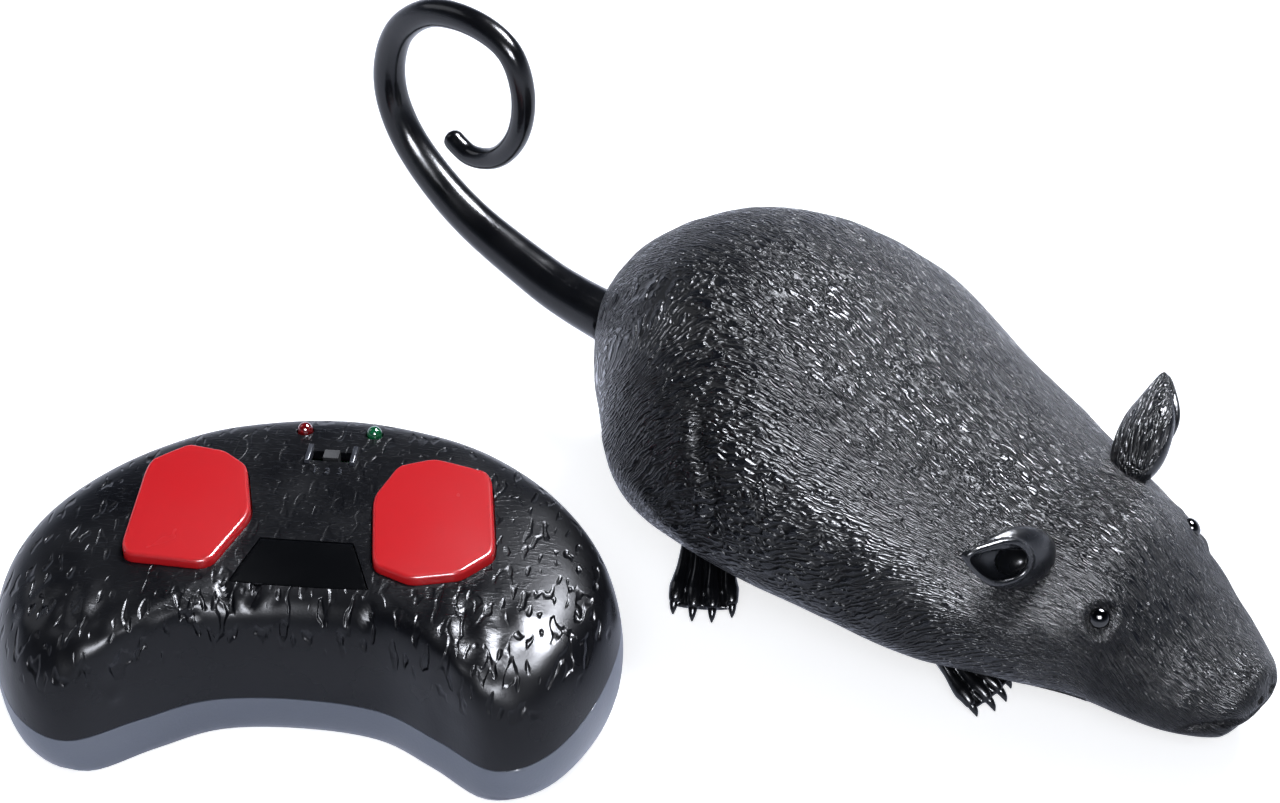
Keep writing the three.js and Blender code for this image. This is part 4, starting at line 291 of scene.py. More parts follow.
@dataclass(frozen=True)
class HideGrain(Finish):
    """Polished black ABS from a carved mould: faint dashes on the flats, bent dents on the roundings."""

    dash: tuple[float, float] = (2.6, 0.8)
    dash_depth: float = 0.05
    dent: tuple[float, float] = (1.7, 4.4)
    dent_depth: float = 0.42
    dent_from: float = 0.57
    dent_edge: float = 0.18
    flat_from: float = 34.6
    flat_blend: float = 2.5
    wall_below: float = 24.0
    wall_blend: float = 4.0
    dents_on_flat: float = 0.12
    pebble: float = 0.7
    pebble_depth: float = 0.02
    cloud: float = 18.0
    turn: float = 0.0
    origin: Spot = (0.0, 0.0, 0.0)

    def pattern(self, tree: NodeTree, shader: Node) -> None:
        """Dashes where the case is flat, dents between the flat top and the plain wall, pebble all over."""
        origin = Vector(self.origin)
        dashes = add_node(tree, "ShaderNodeTexNoise", {
            "Vector": self.places(tree, (self.dash[0], self.dash[1], self.dash[1]), self.turn, origin),
            "Scale": 1.0, "Detail": 1.0, "Roughness": 0.5})
        ripple = add_node(tree, "ShaderNodeMapRange", {
            "Value": dashes, "From Min": 0.5, "From Max": 0.62},
            interpolation_type="SMOOTHSTEP").outputs["Result"]
        dents = add_node(tree, "ShaderNodeTexNoise", {
            "Vector": self.places(tree, (self.dent[0], self.dent[1], self.dent[1]), self.turn, origin),
            "Scale": 1.0, "Detail": 0.3, "Roughness": 0.4, "Distortion": 0.25})
        pits = add_node(tree, "ShaderNodeMapRange", {
            "Value": dents, "From Min": self.dent_from,
            "From Max": self.dent_from + self.dent_edge},
            interpolation_type="SMOOTHSTEP").outputs["Result"]
        high = add_node(tree, "ShaderNodeSeparateXYZ", {
            "Vector": self.places(tree, (1.0, 1.0, 1.0))}).outputs["Z"]
        top, above = (add_node(tree, "ShaderNodeMapRange", {
            "Value": high, "From Min": start, "From Max": start + blend}).outputs["Result"]
            for start, blend in ((self.flat_from, self.flat_blend), (self.wall_below, self.wall_blend)))
        rippled = add_node(tree, "ShaderNodeMath", {0: ripple, 1: top}, operation="MULTIPLY")
        side = add_node(tree, "ShaderNodeMath", {0: 1 + self.dents_on_flat, 1: top}, operation="SUBTRACT")
        shoulder = add_node(tree, "ShaderNodeMath", {0: side, 1: above}, operation="MULTIPLY")
        pressed = add_node(tree, "ShaderNodeMath", {
            0: pits, 1: shoulder}, operation="MULTIPLY")
        sunk = add_node(tree, "ShaderNodeMath", {0: 0.0, 1: pressed}, operation="SUBTRACT")
        grain = add_node(tree, "ShaderNodeTexNoise", {
            "Vector": self.places(tree, (self.pebble,) * 3), "Scale": 1.0, "Detail": 2.0})
        ripple_bump = add_node(tree, "ShaderNodeBump", {
            "Height": rippled, "Strength": 1.0, "Distance": self.dash_depth * MM})
        dent_bump = add_node(tree, "ShaderNodeBump", {
            "Height": sunk, "Strength": 1.0, "Distance": self.dent_depth * MM,
            "Normal": ripple_bump})
        grain_bump = add_node(tree, "ShaderNodeBump", {
            "Height": grain, "Strength": 1.0, "Distance": self.pebble_depth * MM,
            "Normal": dent_bump})
        wear = add_node(tree, "ShaderNodeTexNoise", {
            "Vector": self.places(tree, (self.cloud,) * 3), "Scale": 1.0, "Detail": 4.0})
        gloss = add_node(tree, "ShaderNodeMapRange", {
            "Value": wear, "From Min": 0.35, "From Max": 0.7,
            "To Min": self.roughness - 0.05, "To Max": self.roughness + 0.08})
        set_inputs(tree, shader, {"Roughness": gloss, "Normal": grain_bump})


@dataclass(frozen=True)
class Metal(Finish):
    """Plated or drawn metal: bright, with fine scratches along one direction."""

    scratch: Spot = (6.0, 0.25, 0.25)
    depth: float = 0.01

    def pattern(self, tree: NodeTree, shader: Node) -> None:
        """Scratches in the bump and the gloss of a full metal."""
        shader.inputs["Metallic"].default_value = 1.0
        lines = add_node(tree, "ShaderNodeTexNoise", {
            "Vector": self.places(tree, self.scratch), "Scale": 1.0, "Detail": 3.0})
        gloss = add_node(tree, "ShaderNodeMapRange", {
            "Value": lines, "From Min": 0.3, "From Max": 0.7,
            "To Min": max(0.05, self.roughness - 0.1), "To Max": self.roughness + 0.12})
        bump = add_node(tree, "ShaderNodeBump", {
            "Height": lines, "Strength": 1.0, "Distance": self.depth * MM})
        set_inputs(tree, shader, {"Roughness": gloss, "Normal": bump})


@dataclass(frozen=True)
class TintedLens(Finish):
    """Tinted epoxy of a lamp or detector: clear skin over a coloured, slightly cloudy body."""

    transmission: float = 0.35
    haze: float = 0.8
    tint_range: tuple[float, float] = (0.8, 1.3)

    def pattern(self, tree: NodeTree, shader: Node) -> None:
        """Cloudy tint under a clear coat."""
        haze = add_node(tree, "ShaderNodeTexNoise", {
            "Vector": self.places(tree, (self.haze,) * 3), "Scale": 1.0, "Detail": 1.0})
        deep, pale = ((*(min(1, share * strength) for share in linear(self.colour)[:3]), 1.0)
                      for strength in self.tint_range)
        tint = add_node(tree, "ShaderNodeMix", {"Factor": haze, 6: deep, 7: pale}, data_type="RGBA")
        set_inputs(tree, shader, {
            "Base Color": tint.outputs[2], "Transmission Weight": self.transmission, "IOR": 1.5,
            "Coat Weight": 1.0, "Coat Roughness": 0.03})


@dataclass(frozen=True)
class Laminate(Finish):
    """Glass fibre board under green lacquer, with the woven cloth just showing and copper tracks under it."""

    track: str = "#2f8a4e"
    weave: float = 0.9
    pitch: float = 2.54

    def pattern(self, tree: NodeTree, shader: Node) -> None:
        """Tracks in the colour, the cloth in the bump."""
        cells = add_node(tree, "ShaderNodeTexVoronoi", {
            "Vector": self.places(tree, (self.pitch * 2, self.pitch, self.pitch)), "Scale": 1.0,
            "Randomness": 0.35},
            distance="CHEBYCHEV", feature="DISTANCE_TO_EDGE")
        ramp = add_node(tree, "ShaderNodeValToRGB", {"Fac": cells})
        set_stops(ramp, [(0.10, self.track), (0.13, self.colour)])
        cloth = add_node(tree, "ShaderNodeTexChecker", {
            "Vector": self.places(tree, (self.weave,) * 3), "Scale": 1.0})
        bump = add_node(tree, "ShaderNodeBump", {
            "Height": cloth.outputs["Fac"], "Strength": 0.3, "Distance": 0.02 * MM})
        set_inputs(tree, shader, {"Base Color": ramp, "Normal": bump})


@dataclass(frozen=True)
class Sleeve(Finish):
    """Shrink film over a steel cell can: a satin dark sleeve with a bright metal band at one end."""

    band: str = "#b98a4a"
    band_spacing: float = 156.0
    crinkle: float = 3.0

    def pattern(self, tree: NodeTree, shader: Node) -> None:
        """A band of another colour along the cell and faint crinkles."""
        wave = add_node(tree, "ShaderNodeTexWave", {
            "Vector": self.places(tree, (self.band_spacing,) * 3), "Scale": 1.0, "Distortion": 0.0})
        ramp = add_node(tree, "ShaderNodeValToRGB", {"Fac": wave.outputs["Fac"]})
        set_stops(ramp, [(0.72, self.colour), (0.78, self.band)])
        crinkle = add_node(tree, "ShaderNodeTexNoise", {
            "Vector": self.places(tree, (self.crinkle,) * 3), "Scale": 1.0, "Detail": 2.0})
        bump = add_node(tree, "ShaderNodeBump", {
            "Height": crinkle, "Strength": 1.0, "Distance": 0.02 * MM})
        shader.inputs["Metallic"].default_value = 0.5
        set_inputs(tree, shader, {"Base Color": ramp, "Normal": bump})


# Soft PVC from an engraved mould: black, with wet glints on each hair, painted shade in the grooves and a
# # painted sheen on the ridges. The pan's hair is plainer and duller
FUR = FurVinyl("engraved_black_vinyl", "#07080a", 0.2, 0.28)
PAN_FUR = FurVinyl("engraved_pan_vinyl", "#0a0b0e", 0.3, 0.3, flow=Flow.ALONG_BODY)
EAR_FUR = FurVinyl("engraved_ear_vinyl", "#0a0b0e", 0.2, 0.35, stroke=(7.0, 0.8), sway=(0.0, 0.5, 0.5))
# Soft PVC from a smooth mould: glossy on tail and feet, a little duller in the ears
LIMB_VINYL = MouldedPlastic("glossy_black_vinyl", "#0f1013", 0.2, 0.35, grain=1.6, depth=0.03, cloud=9.0)
EAR_VINYL = MouldedPlastic("satin_black_vinyl", "#15171b", 0.28, 0.4, grain=1.2, depth=0.03, cloud=7.0)
# Black glass beads, which mirror the lamps as sharp points
EYE_BEAD = MouldedPlastic(
    "black_glass_bead", "#030304", 0.04, 0.6, grain=4.0, depth=0.002, cloud=9.0, spread=0.01)
# Polished ABS on the handset's crown, and pebbled ABS below the seam: the same black plastic, painted pale
# grey
# # as a painted reflection of the pale floor
CASE_TOP = HideGrain("polished_black_abs", "#0c0d11", 0.3, 0.2)
CASE_BASE_PAINTED_REFLECTION = HideGrain(
    "pebbled_black_abs", "#6c727f", 0.36, 0.5, dent_depth=0.02, dash_depth=0.0, pebble_depth=0.05)
PANEL = MouldedPlastic(
    "mirror_black_abs", "#08090b", 0.16, 0.45, grain=3.0, depth=0.003, cloud=20.0, spread=0.03)
KEY_RED = MouldedPlastic(
    "red_abs_key", "#dc2026", 0.26, 0.4, grain=2.5, depth=0.006, cloud=16.0, spread=0.015)
MARKING = MouldedPlastic("raised_dark_marking", "#3a3d45", 0.3, 0.5, grain=1.0, depth=0.005)
# Plain moulded plastics and rubber of the works, satin to matt
DOOR_PLASTIC = MouldedPlastic("satin_black_abs", "#131417", 0.42, 0.5, grain=0.4, depth=0.02)
GREY_PLASTIC = MouldedPlastic("grey_acetal", "#53565c", 0.5, 0.5, grain=0.5, depth=0.01)
NYLON = MouldedPlastic("milky_nylon", "#e8e4d6", 0.45, 0.5, grain=0.8, depth=0.01)
TYRE_RUBBER = MouldedPlastic("moulded_tyre_rubber", "#18181a", 0.75, 0.4, grain=0.5, depth=0.05)
SILICONE = MouldedPlastic("milky_silicone", "#d8d8d4", 0.55, 0.4, grain=1.0, depth=0.01)
# Cast epoxy, clear over its tint
RED_LENS = TintedLens("red_epoxy_lens", "#8c1216", 0.08)
GREEN_LENS = TintedLens("green_epoxy_lens", "#157848", 0.08)
DARK_LENS = TintedLens("smoked_epoxy_lens", "#0d0b10", 0.1, transmission=0.1)
# Drawn and turned metals, bright with fine scratches
STEEL = Metal("plated_steel", "#c3c6ca", 0.28)
BRASS = Metal("turned_brass", "#c9a04f", 0.3)
# Lacquered laminate with its tracks, and printed film round the cells
BOARD = Laminate("green_lacquered_board", "#1f6b3c", 0.35)
CELL_SLEEVE = Sleeve("cell_sleeve_film", "#2c3138", 0.35)


# Curves and shapes, in millimetres

def through(points: list[tuple[float, float]], way: float, closed: bool = False) -> tuple[float, float]:
    """A point of the smooth line through some points.

    Args:
        points: The points in order.
        way: Share of the way from the first point to the last, counted in points.
        closed: Whether the last point joins the first.

    Returns:
        The point's two coordinates.
    """
    count = len(points)
    reach = count if closed else count - 1
    place = min(max(way, 0.0), 1.0) * reach
    step = min(int(place), reach - 1)
    part = place - step
    near = [points[i % count] if closed else points[min(max(i, 0), count - 1)]
            for i in range(step - 1, step + 3)]
    result = []
    for axis in (0, 1):
        before, start, end, after = (point[axis] for point in near)
        leave, reach_in = (end - before) / 2, (after - start) / 2
        result.append((2 * start - 2 * end + leave + reach_in) * part ** 3
                      + (3 * end - 3 * start - 2 * leave - reach_in) * part ** 2 + leave * part + start)
    return result[0], result[1]


def smoothstep(low: float, high: float, value: float) -> float:
    """Runs smoothly from 0 at low to 1 at high."""
    share = min(max((value - low) / (high - low), 0.0), 1.0)
    return share * share * (3 - 2 * share)


def distance_to(path: list[Vector], place: Vector) -> float:
    """Distance of a place from a broken line."""
    best = math.inf
    for start, end in zip(path, path[1:]):
        run = end - start
        share = min(max((place - start).dot(run) / run.length_squared, 0.0), 1.0)
        best = min(best, (place - start - run * share).length)
    return best


@dataclass(frozen=True)
class Line:
    """A soft line pressed into a surface, or raised from it."""

    path: tuple[Spot, ...]
    width: float
    height: float

    def at(self, place: Vector) -> float:
        """Height that the line adds at a place."""
        gap = distance_to([Vector(point) for point in self.path], place)
        return self.height * math.exp(-(gap / self.width) ** 2)


@dataclass(frozen=True)
class Mound:
    """A rounded rise or hollow with its own three radii and a softness of its edge."""

    centre: Spot
    radii: Spot
    height: float
    soft: float = 0.5

    def at(self, place: Vector) -> float:
        """Height that the mound adds at a place."""
        away = Vector([(place[i] - self.centre[i]) / self.radii[i] for i in range(3)]).length
        return self.height * (1 - smoothstep(1 - self.soft, 1 + self.soft, away))


@dataclass
class BodyForm:
    """The rat's outer form: sections blended from the rump to the nose."""

    length: float = 182.0
    width: float = 94.0
    height: float = 66.0
    clearance: float = 7.0
    waist: float = 0.4
    back_squareness: float = 2.1
    belly_squareness: float = 2.4
    swelling: float = 2.0
    swelling_spread: float = 15.0
    swellings: tuple[tuple[float, float], ...] = ((-46.0, 26.0), (22.0, 22.0))
    stations: tuple[float, ...] = (0, 0.02, 0.09, 0.21, 0.37, 0.54, 0.68, 0.81, 0.9, 0.96, 0.99, 1)
    widths: tuple[float, ...] = (0, 0.2, 0.5, 0.89, 1.03, 0.9, 0.75, 0.54, 0.41, 0.29, 0.16, 0)
    backs: tuple[float, ...] = (0.35, 0.56, 0.83, 0.99, 0.94, 0.74, 0.6, 0.56, 0.34, 0.26, 0.24, 0.13)
    bellies: tuple[float, ...] = (0.35, 0.15, 0.04, 0.015, 0.01, 0, 0, 0, 0, 0.01, 0.04, 0.13)

    def point(self, along: float, turn: float) -> Vector:
        """A point of the form.

        Args:
            along: Share of the way from the rump to the nose.
            turn: Angle round the section, from the left side over the back.

        Returns:
            The point in the rat's own millimetres.
        """
        end = along <= 0 or along >= 1
        station, width = through(list(zip(self.stations, self.widths)), along)
        half = 0.0 if end else max(0.0, width * self.width / 2)
        back = self.clearance + through(list(zip(self.stations, self.backs)), along)[1] * self.height
        belly = self.clearance + through(list(zip(self.stations, self.bellies)), along)[1] * self.height
        waist = belly + self.waist * (back - belly)
        across, upward = math.cos(turn), math.sin(turn)
        power = 2 / (self.back_squareness if upward > 0 else self.belly_squareness)
        reach = 0.0 if end else (back - waist if upward > 0 else waist - belly)
        x = (station - 0.5) * self.length
        z = waist + reach * math.copysign(abs(upward) ** power, upward)
        y = half * math.copysign(abs(across) ** power, across)
        for ahead, high in self.swellings:
            offset = math.hypot(x - ahead, z - high) / self.swelling_spread
            y += math.copysign(self.swelling * abs(across) * math.exp(-offset * offset), across) * (half > 0)
        return Vector((x, y, z))

    def rows(self, count: int) -> tuple[list[float], list[float]]:
        """Shares along the form that set mesh rows evenly apart, and closer on the muzzle.

        Args:
            count: Number of gaps between rows.

        Returns:
            The share of each row and its distance along the skin from the rump.
        """
        fine = 1500
        spots = [(i / fine, self.point(i / fine, 0.75 * math.pi)) for i in range(fine + 1)]
        ways, weights = [0.0], [0.0]
        for (_, a), (_, b) in zip(spots, spots[1:]):
            ways.append(ways[-1] + (b - a).length)
            weights.append(weights[-1] + (b - a).length * (1 + 1.2 * smoothstep(55, 72, a.x)))
        shares, lengths, i = [], [], 0
        for row in range(count + 1):
            goal = weights[-1] * row / count
            while i < fine and weights[i + 1] < goal:
                i += 1
            part = min(1.0, (goal - weights[i]) / max(1e-9, weights[min(i + 1, fine)] - weights[i]))
            shares.append(min(1.0, (i + part) / fine))
            lengths.append(ways[i])
        return shares, lengths


@dataclass
class HandsetForm:
    """The handset's outer form: one kidney outline scaled and lifted from the crown to the base."""

    half: float = 68.0
    height: float = 37.0
    wall: float = 2.2
    side: tuple[tuple[float, float], ...] = (
        (0, -0.46), (0.27, -0.49), (0.47, -0.6), (0.66, -0.72), (0.82, -0.67), (0.94, -0.5), (1, -0.28),
        (0.985, -0.07), (0.9, 0.13), (0.735, 0.33), (0.51, 0.49), (0.255, 0.575), (0, 0.605))
    crown: tuple[tuple[float, float], ...] = (
        (0, 1), (0.35, 0.998), (0.62, 0.985), (0.78, 0.955), (0.875, 0.895), (0.94, 0.79), (0.98, 0.62),
        (1, 0.38), (0.992, 0.17), (0.965, 0.045), (0.93, 0))

    def outline(self, count: int) -> list[Vector]:
        """Points evenly spaced round the outline, at the handset's full width."""
        points = list(self.side) + [(-x, y) for x, y in reversed(self.side[1:-1])]
        fine = 2400
        spots = [Vector((*through(points, i / fine, True), 0)) * self.half for i in range(fine)]
        return evenly(spots + [spots[0]], count)

    def profile(self, count: int) -> list[Vector]:
        """Scale and height of each row from the crown's middle to the base's middle."""
        fine = 900
        spots = [Vector((scale, max(0.0, rise) * self.height / self.half, 0)) for scale, rise in
                 (through(list(self.crown), i / fine) for i in range(fine + 1))]
        return evenly(spots + [Vector((0, 0, 0))], count + 1, False)

    def surface(self, x: float, y: float) -> float:
        """Height of the crown over a place of the handset."""
        ring = self.outline(180)
        reach = Vector((x, y, 0))
        angle = math.atan2(y, x)
        edge = min(ring, key=lambda p: abs(math.remainder(math.atan2(p.y, p.x) - angle, math.tau)))
        share = min(0.99, reach.length / edge.length)
        rows = [(scale, rise) for scale, rise in self.crown[:8]]
        for (a, high), (b, low) in zip(rows, rows[1:]):
            if a <= share <= b:
                return (high + (low - high) * (share - a) / (b - a)) * self.height
        return self.height * rows[-1][1]


def evenly(points: list[Vector], count: int, closed: bool = True) -> list[Vector]:
    """Points set evenly along a fine broken line.

    Args:
        points: The fine line.
        count: How many points to give.
        closed: Whether the line's last point repeats the first, which is then left out.

    Returns:
        The evenly spaced points.
    """
    ways = [0.0]
    for a, b in zip(points, points[1:]):
        ways.append(ways[-1] + (b - a).length)
    result, i = [], 0
    gaps = count if closed else count - 1
    for k in range(count):
        goal = ways[-1] * k / gaps
        while i < len(points) - 2 and ways[i + 1] < goal:
            i += 1
        part = min(1.0, (goal - ways[i]) / max(1e-9, ways[i + 1] - ways[i]))
        result.append(points[i].lerp(points[i + 1], part))
    return result


# Meshes

def settle(piece: Object) -> None:
    """Turns a piece's modifiers into its own mesh."""
    bpy.context.view_layer.update()
    graph = bpy.context.evaluated_depsgraph_get()
    done = bpy.data.meshes.new_from_object(
        piece.evaluated_get(graph), preserve_all_data_layers=True, depsgraph=graph)
    piece.modifiers.clear()
    piece.data = done
    piece.data.name = piece.name


def lay_out(shape: BMesh, name: str, place: Matrix | None = None) -> Object:
    """Makes an object of a bmesh, its place worked into the mesh.

    Args:
        shape: The shape, which is used up.
        name: The object's name.
        place: Where the shape goes, in metres.

    Returns:
        The new object.
    """
    mesh = bpy.data.meshes.new(name)
    shape.to_mesh(mesh)
    shape.free()
    if place is not None:
        mesh.transform(place)
    piece = bpy.data.objects.new(name, mesh)
    bpy.context.scene.collection.objects.link(piece)
    return piece


def face_out(shape: BMesh) -> BMesh:
    """Turns a closed shape's faces outwards and hands the shape back."""
    bmesh.ops.recalc_face_normals(shape, faces=shape.faces)
    if shape.calc_volume(signed=True) < 0:
        bmesh.ops.reverse_faces(shape, faces=shape.faces)
    shape.normal_update()
    return shape


def gathered(*shapes: BMesh) -> BMesh:
    """Puts several shapes into the first, which is handed back."""
    for extra in shapes[1:]:
        mesh = bpy.data.meshes.new("gathered")
        extra.to_mesh(mesh)
        extra.free()
        shapes[0].from_mesh(mesh)
        bpy.data.meshes.remove(mesh)
    return shapes[0]


def ball(radii: Spot, centre: Spot, sides: int = 28) -> BMesh:
    """A ball stretched to three radii, set at a centre."""
    shape = bmesh.new()
    bmesh.ops.create_uvsphere(shape, u_segments=sides, v_segments=sides * 2 // 3, radius=1)
    bmesh.ops.scale(shape, vec=radii, verts=shape.verts)
    bmesh.ops.translate(shape, vec=centre, verts=shape.verts)
    return face_out(shape)


def box(low: Spot, high: Spot) -> BMesh:
    """A block between two corners, used to cut with."""
    corners = [(low[0], low[1]), (high[0], low[1]), (high[0], high[1]), (low[0], high[1])]
    return prism(corners, low[2], high[2])


def open_up(piece: Object) -> BMesh:
    """A copy of a piece's mesh to work on."""
    shape = bmesh.new()
    shape.from_mesh(piece.data)
    return shape


def cad_copy(node: str) -> BMesh:
    """A joined copy of a CAD node's solid, in metres."""
    shape = open_up(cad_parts[node])
    bmesh.ops.remove_doubles(shape, verts=shape.verts, dist=1e-6)
    return face_out(shape)


def swollen(shape: BMesh, distance: float) -> BMesh:
    """Moves the faces of a closed shape outwards by about a distance and hands the shape back."""
    shape.normal_update()
    moves = {vert: vert.normal * min(vert.calc_shell_factor(), 1.8) * distance for vert in shape.verts}
    for vert, move in moves.items():
        vert.co += move
    return shape


class Carving(Enum):
    """What a tool takes from a piece."""

    INSIDE = "DIFFERENCE"
    OUTSIDE = "INTERSECT"


def carve(piece: Object, tool: Object, taken: Carving = Carving.INSIDE) -> None:
    """Takes away what lies inside a tool, or all that lies outside it.

    Args:
        piece: The piece to cut.
        tool: The closed shape to cut with, which is used up.
        taken: Which side of the tool goes.
    """
    cut = piece.modifiers.new("cut", "BOOLEAN")
    cut.operation = taken.value
    cut.solver = "EXACT"
    cut.object = tool
    settle(piece)
    bpy.data.objects.remove(tool)


def melt(piece: Object, voxel: float, rounds: int) -> None:
    """Melts forms that overlap into one skin and smooths it.

    Args:
        piece: The forms, in millimetres.
        voxel: Size of the skin's facets.
        rounds: How many times the skin is smoothed.
    """
    remesh = piece.modifiers.new("skin", "REMESH")
    remesh.mode = "VOXEL"
    remesh.voxel_size = voxel
    smooth = piece.modifiers.new("rolled", "SMOOTH")
    smooth.factor = 0.5
    smooth.iterations = rounds
    settle(piece)


def thicken(piece: Object, wall: float) -> None:
    """Gives an open skin a wall, in millimetres, on its inner side."""
    solid = piece.modifiers.new("wall", "SOLIDIFY")
    solid.thickness = wall * MM
    solid.offset = -1
    solid.use_even_offset = False
    settle(piece)


def uncapped(piece: Object, sign: float) -> None:
    """Opens a cut shell by taking away the flat cap that faces up (sign 1) or down (sign -1)."""
    shape = open_up(piece)
    cap = [face for face in shape.faces if face.normal.z * sign > 0.6]
    bmesh.ops.delete(shape, geom=cap, context="FACES")
    shape.to_mesh(piece.data)
    shape.free()


def carried(path: list[Vector], radii: Sequence[float], sides: int, rows: int,
            up: Vector = UP, tall: Sequence[float] | None = None) -> BMesh:
    """A ball drawn out along a path, its ends closed.

    Args:
        path: Points of the path, close together.
        radii: Half width at each point of the path.
        sides: Facets round the section.
        rows: Rows along the path.
        up: Direction that the section's height follows.
        tall: Half height at each point, where it isn't the half width.

    Returns:
        The closed shape.
    """
    shape = bmesh.new()
    bmesh.ops.create_uvsphere(shape, u_segments=sides, v_segments=rows, radius=1)
    last = len(path) - 1
    for vert in shape.verts:
        share = math.acos(min(1.0, max(-1.0, vert.co.z))) / math.pi
        around = math.atan2(vert.co.y, vert.co.x)
        pole = share < 1e-4 or share > 1 - 1e-4
        i = min(int(share * last), last - 1)
        centre = path[i].lerp(path[i + 1], share * last - i)
        wide = 0.0 if pole else between(radii, share)
        high = 0.0 if pole else between(tall or radii, share)
        ahead = (path[min(i + 2, last)] - path[max(i - 1, 0)]).normalized()
        over = (up - ahead * up.dot(ahead)).normalized()
        aside = over.cross(ahead)
        vert.co = centre + aside * (wide * math.cos(around)) + over * (high * math.sin(around))
    return face_out(shape)


def drawn(points: list[Vector], count: int) -> list[Vector]:
    """A smooth line through a few points, cut into even steps."""
    flat = [(p.x, p.y) for p in points]
    tall = [(p.z, 0.0) for p in points]
    fine = 40 * len(points)
    spots = [Vector((*through(flat, i / fine), through(tall, i / fine)[0])) for i in range(fine + 1)]
    return evenly(spots, count, False)


def between(values: Sequence[float], share: float) -> float:
    """Value at a share of the way along evenly set values."""
    place = min(max(share, 0.0), 1.0) * (len(values) - 1)
    i = min(int(place), len(values) - 2)
    return values[i] + (values[i + 1] - values[i]) * (place - i)


def lattice_cell(vert: BMVert, around: int, along: int) -> tuple[int, int]:
    """Row and column of a vertex of a ball that has so many columns around and rows along."""
    row = round(math.acos(min(1.0, max(-1.0, vert.co.z))) / math.pi * along)
    return row, round(math.atan2(vert.co.y, vert.co.x) / math.tau * around) % around


def spun(profile: Outline, steps: int, axis: Vector = UP, centre: Vector = Vector()) -> BMesh:
    """A profile of radius and height turned about an axis.

    Args:
        profile: Radius and height of each corner, as a closed loop or from axis to axis.
        steps: Facets round the axis.
        axis: The axis' direction.
        centre: The point that heights count from.

    Returns:
        The closed shape.
    """
    shape = bmesh.new()
    ring = [shape.verts.new((radius, 0, height)) for radius, height in profile]
    edges = [shape.edges.new((a, b)) for a, b in zip(ring, ring[1:])]
    if min(profile[0][0], profile[-1][0]) > 0:
        edges.append(shape.edges.new((ring[-1], ring[0])))
    bmesh.ops.spin(shape, geom=ring + edges, cent=(0, 0, 0), axis=UP, angle=math.tau, steps=steps,
                   use_merge=True)
    bmesh.ops.remove_doubles(shape, verts=shape.verts, dist=1e-4)
    bmesh.ops.dissolve_degenerate(shape, edges=shape.edges, dist=1e-5)
    turn = UP.rotation_difference(axis).to_matrix().to_4x4()
    bmesh.ops.transform(shape, matrix=Matrix.Translation(centre) @ turn, verts=shape.verts)
    return face_out(shape)


def rod(radius: float, low: float, high: float, sides: int, centre: Vector, axis: Vector = UP) -> BMesh:
    """A round rod between two heights over a centre."""
    return spun([(0, low), (radius, low), (radius, high), (0, high)], sides, axis, centre)


def prism(outline: Outline, low: float, high: float) -> BMesh:
    """An outline in X and Y given height from low to high."""
    shape = bmesh.new()
    face = shape.faces.new([shape.verts.new((x, y, low)) for x, y in outline])
    raised = bmesh.ops.extrude_face_region(shape, geom=[face])["geom"]
    corners = [part for part in raised if isinstance(part, BMVert)]
    bmesh.ops.translate(shape, vec=(0, 0, high - low), verts=corners)
    return face_out(shape)


def eased(shape: BMesh, top: float, edge: float, segments: int) -> BMesh:
    """Rounds the edges round a prism's top and hands the prism back."""
    rim = [side for side in shape.edges if all(abs(vert.co.z - top) < 1e-4 for vert in side.verts)]
    bmesh.ops.bevel(shape, geom=rim, offset=edge, offset_type="OFFSET", segments=segments, profile=0.5,
                    affect="EDGES", material=-1)
    return shape


def rounded(corners: Outline, share: float, steps: int = 6) -> Outline:
    """An outline with its corners rounded.

    Args:
        corners: The outline's corners.
        share: Share of each side that the rounding takes from either end.
        steps: Points to a corner.

    Returns:
        The rounded outline.
    """
    result = []
    for i, corner in enumerate(corners):
        point = Vector(corner)
        start = point.lerp(Vector(corners[i - 1]), share)
        end = point.lerp(Vector(corners[(i + 1) % len(corners)]), share)
        for k in range(steps + 1):
            part = k / steps
            spot = start.lerp(point, part).lerp(point.lerp(end, part), part)
            result.append((spot.x, spot.y))
    return result


def grown(corners: Outline, distance: float) -> Outline:
    """An outline moved outward by a distance, corner by corner."""
    result = []
    for i, corner in enumerate(corners):
        point = Vector(corner)
        before = (point - Vector(corners[i - 1])).normalized()
        after = (Vector(corners[(i + 1) % len(corners)]) - point).normalized()
        side, next_side = Vector((before.y, -before.x)), Vector((after.y, -after.x))
        spot = point + (side + next_side) / (1 + side.dot(next_side)) * distance
        result.append((spot.x, spot.y))
    return result


def finish_piece(piece: Object, body: str, finish: Finish, slot: str, *nodes: str,
                 crisp: float | None = None) -> None:
    """Gives a piece its finish, its body and the nodes it stands for.

    Args:
        piece: The finished mesh.
        body: The CAD body that it rides on.
        finish: The piece's finish.
        slot: The record's material slot, which is not used.
        nodes: CAD nodes that it replaces.
        crisp: Edges sharper than this many degrees stay crisp and the rest is smooth. Without it all is flat.
    """
    mesh = piece.data
    if crisp is not None:
        mesh.polygons.foreach_set("use_smooth", [True] * len(mesh.polygons))
        mesh.set_sharp_from_angle(angle=math.radians(crisp))
    if not mesh.materials:
        mesh.materials.append(finish.build())
    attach(piece, body)
    if nodes:
        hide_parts(*nodes)
    log.info("%s rides on %s: %d faces", piece.name, body, len(mesh.polygons))


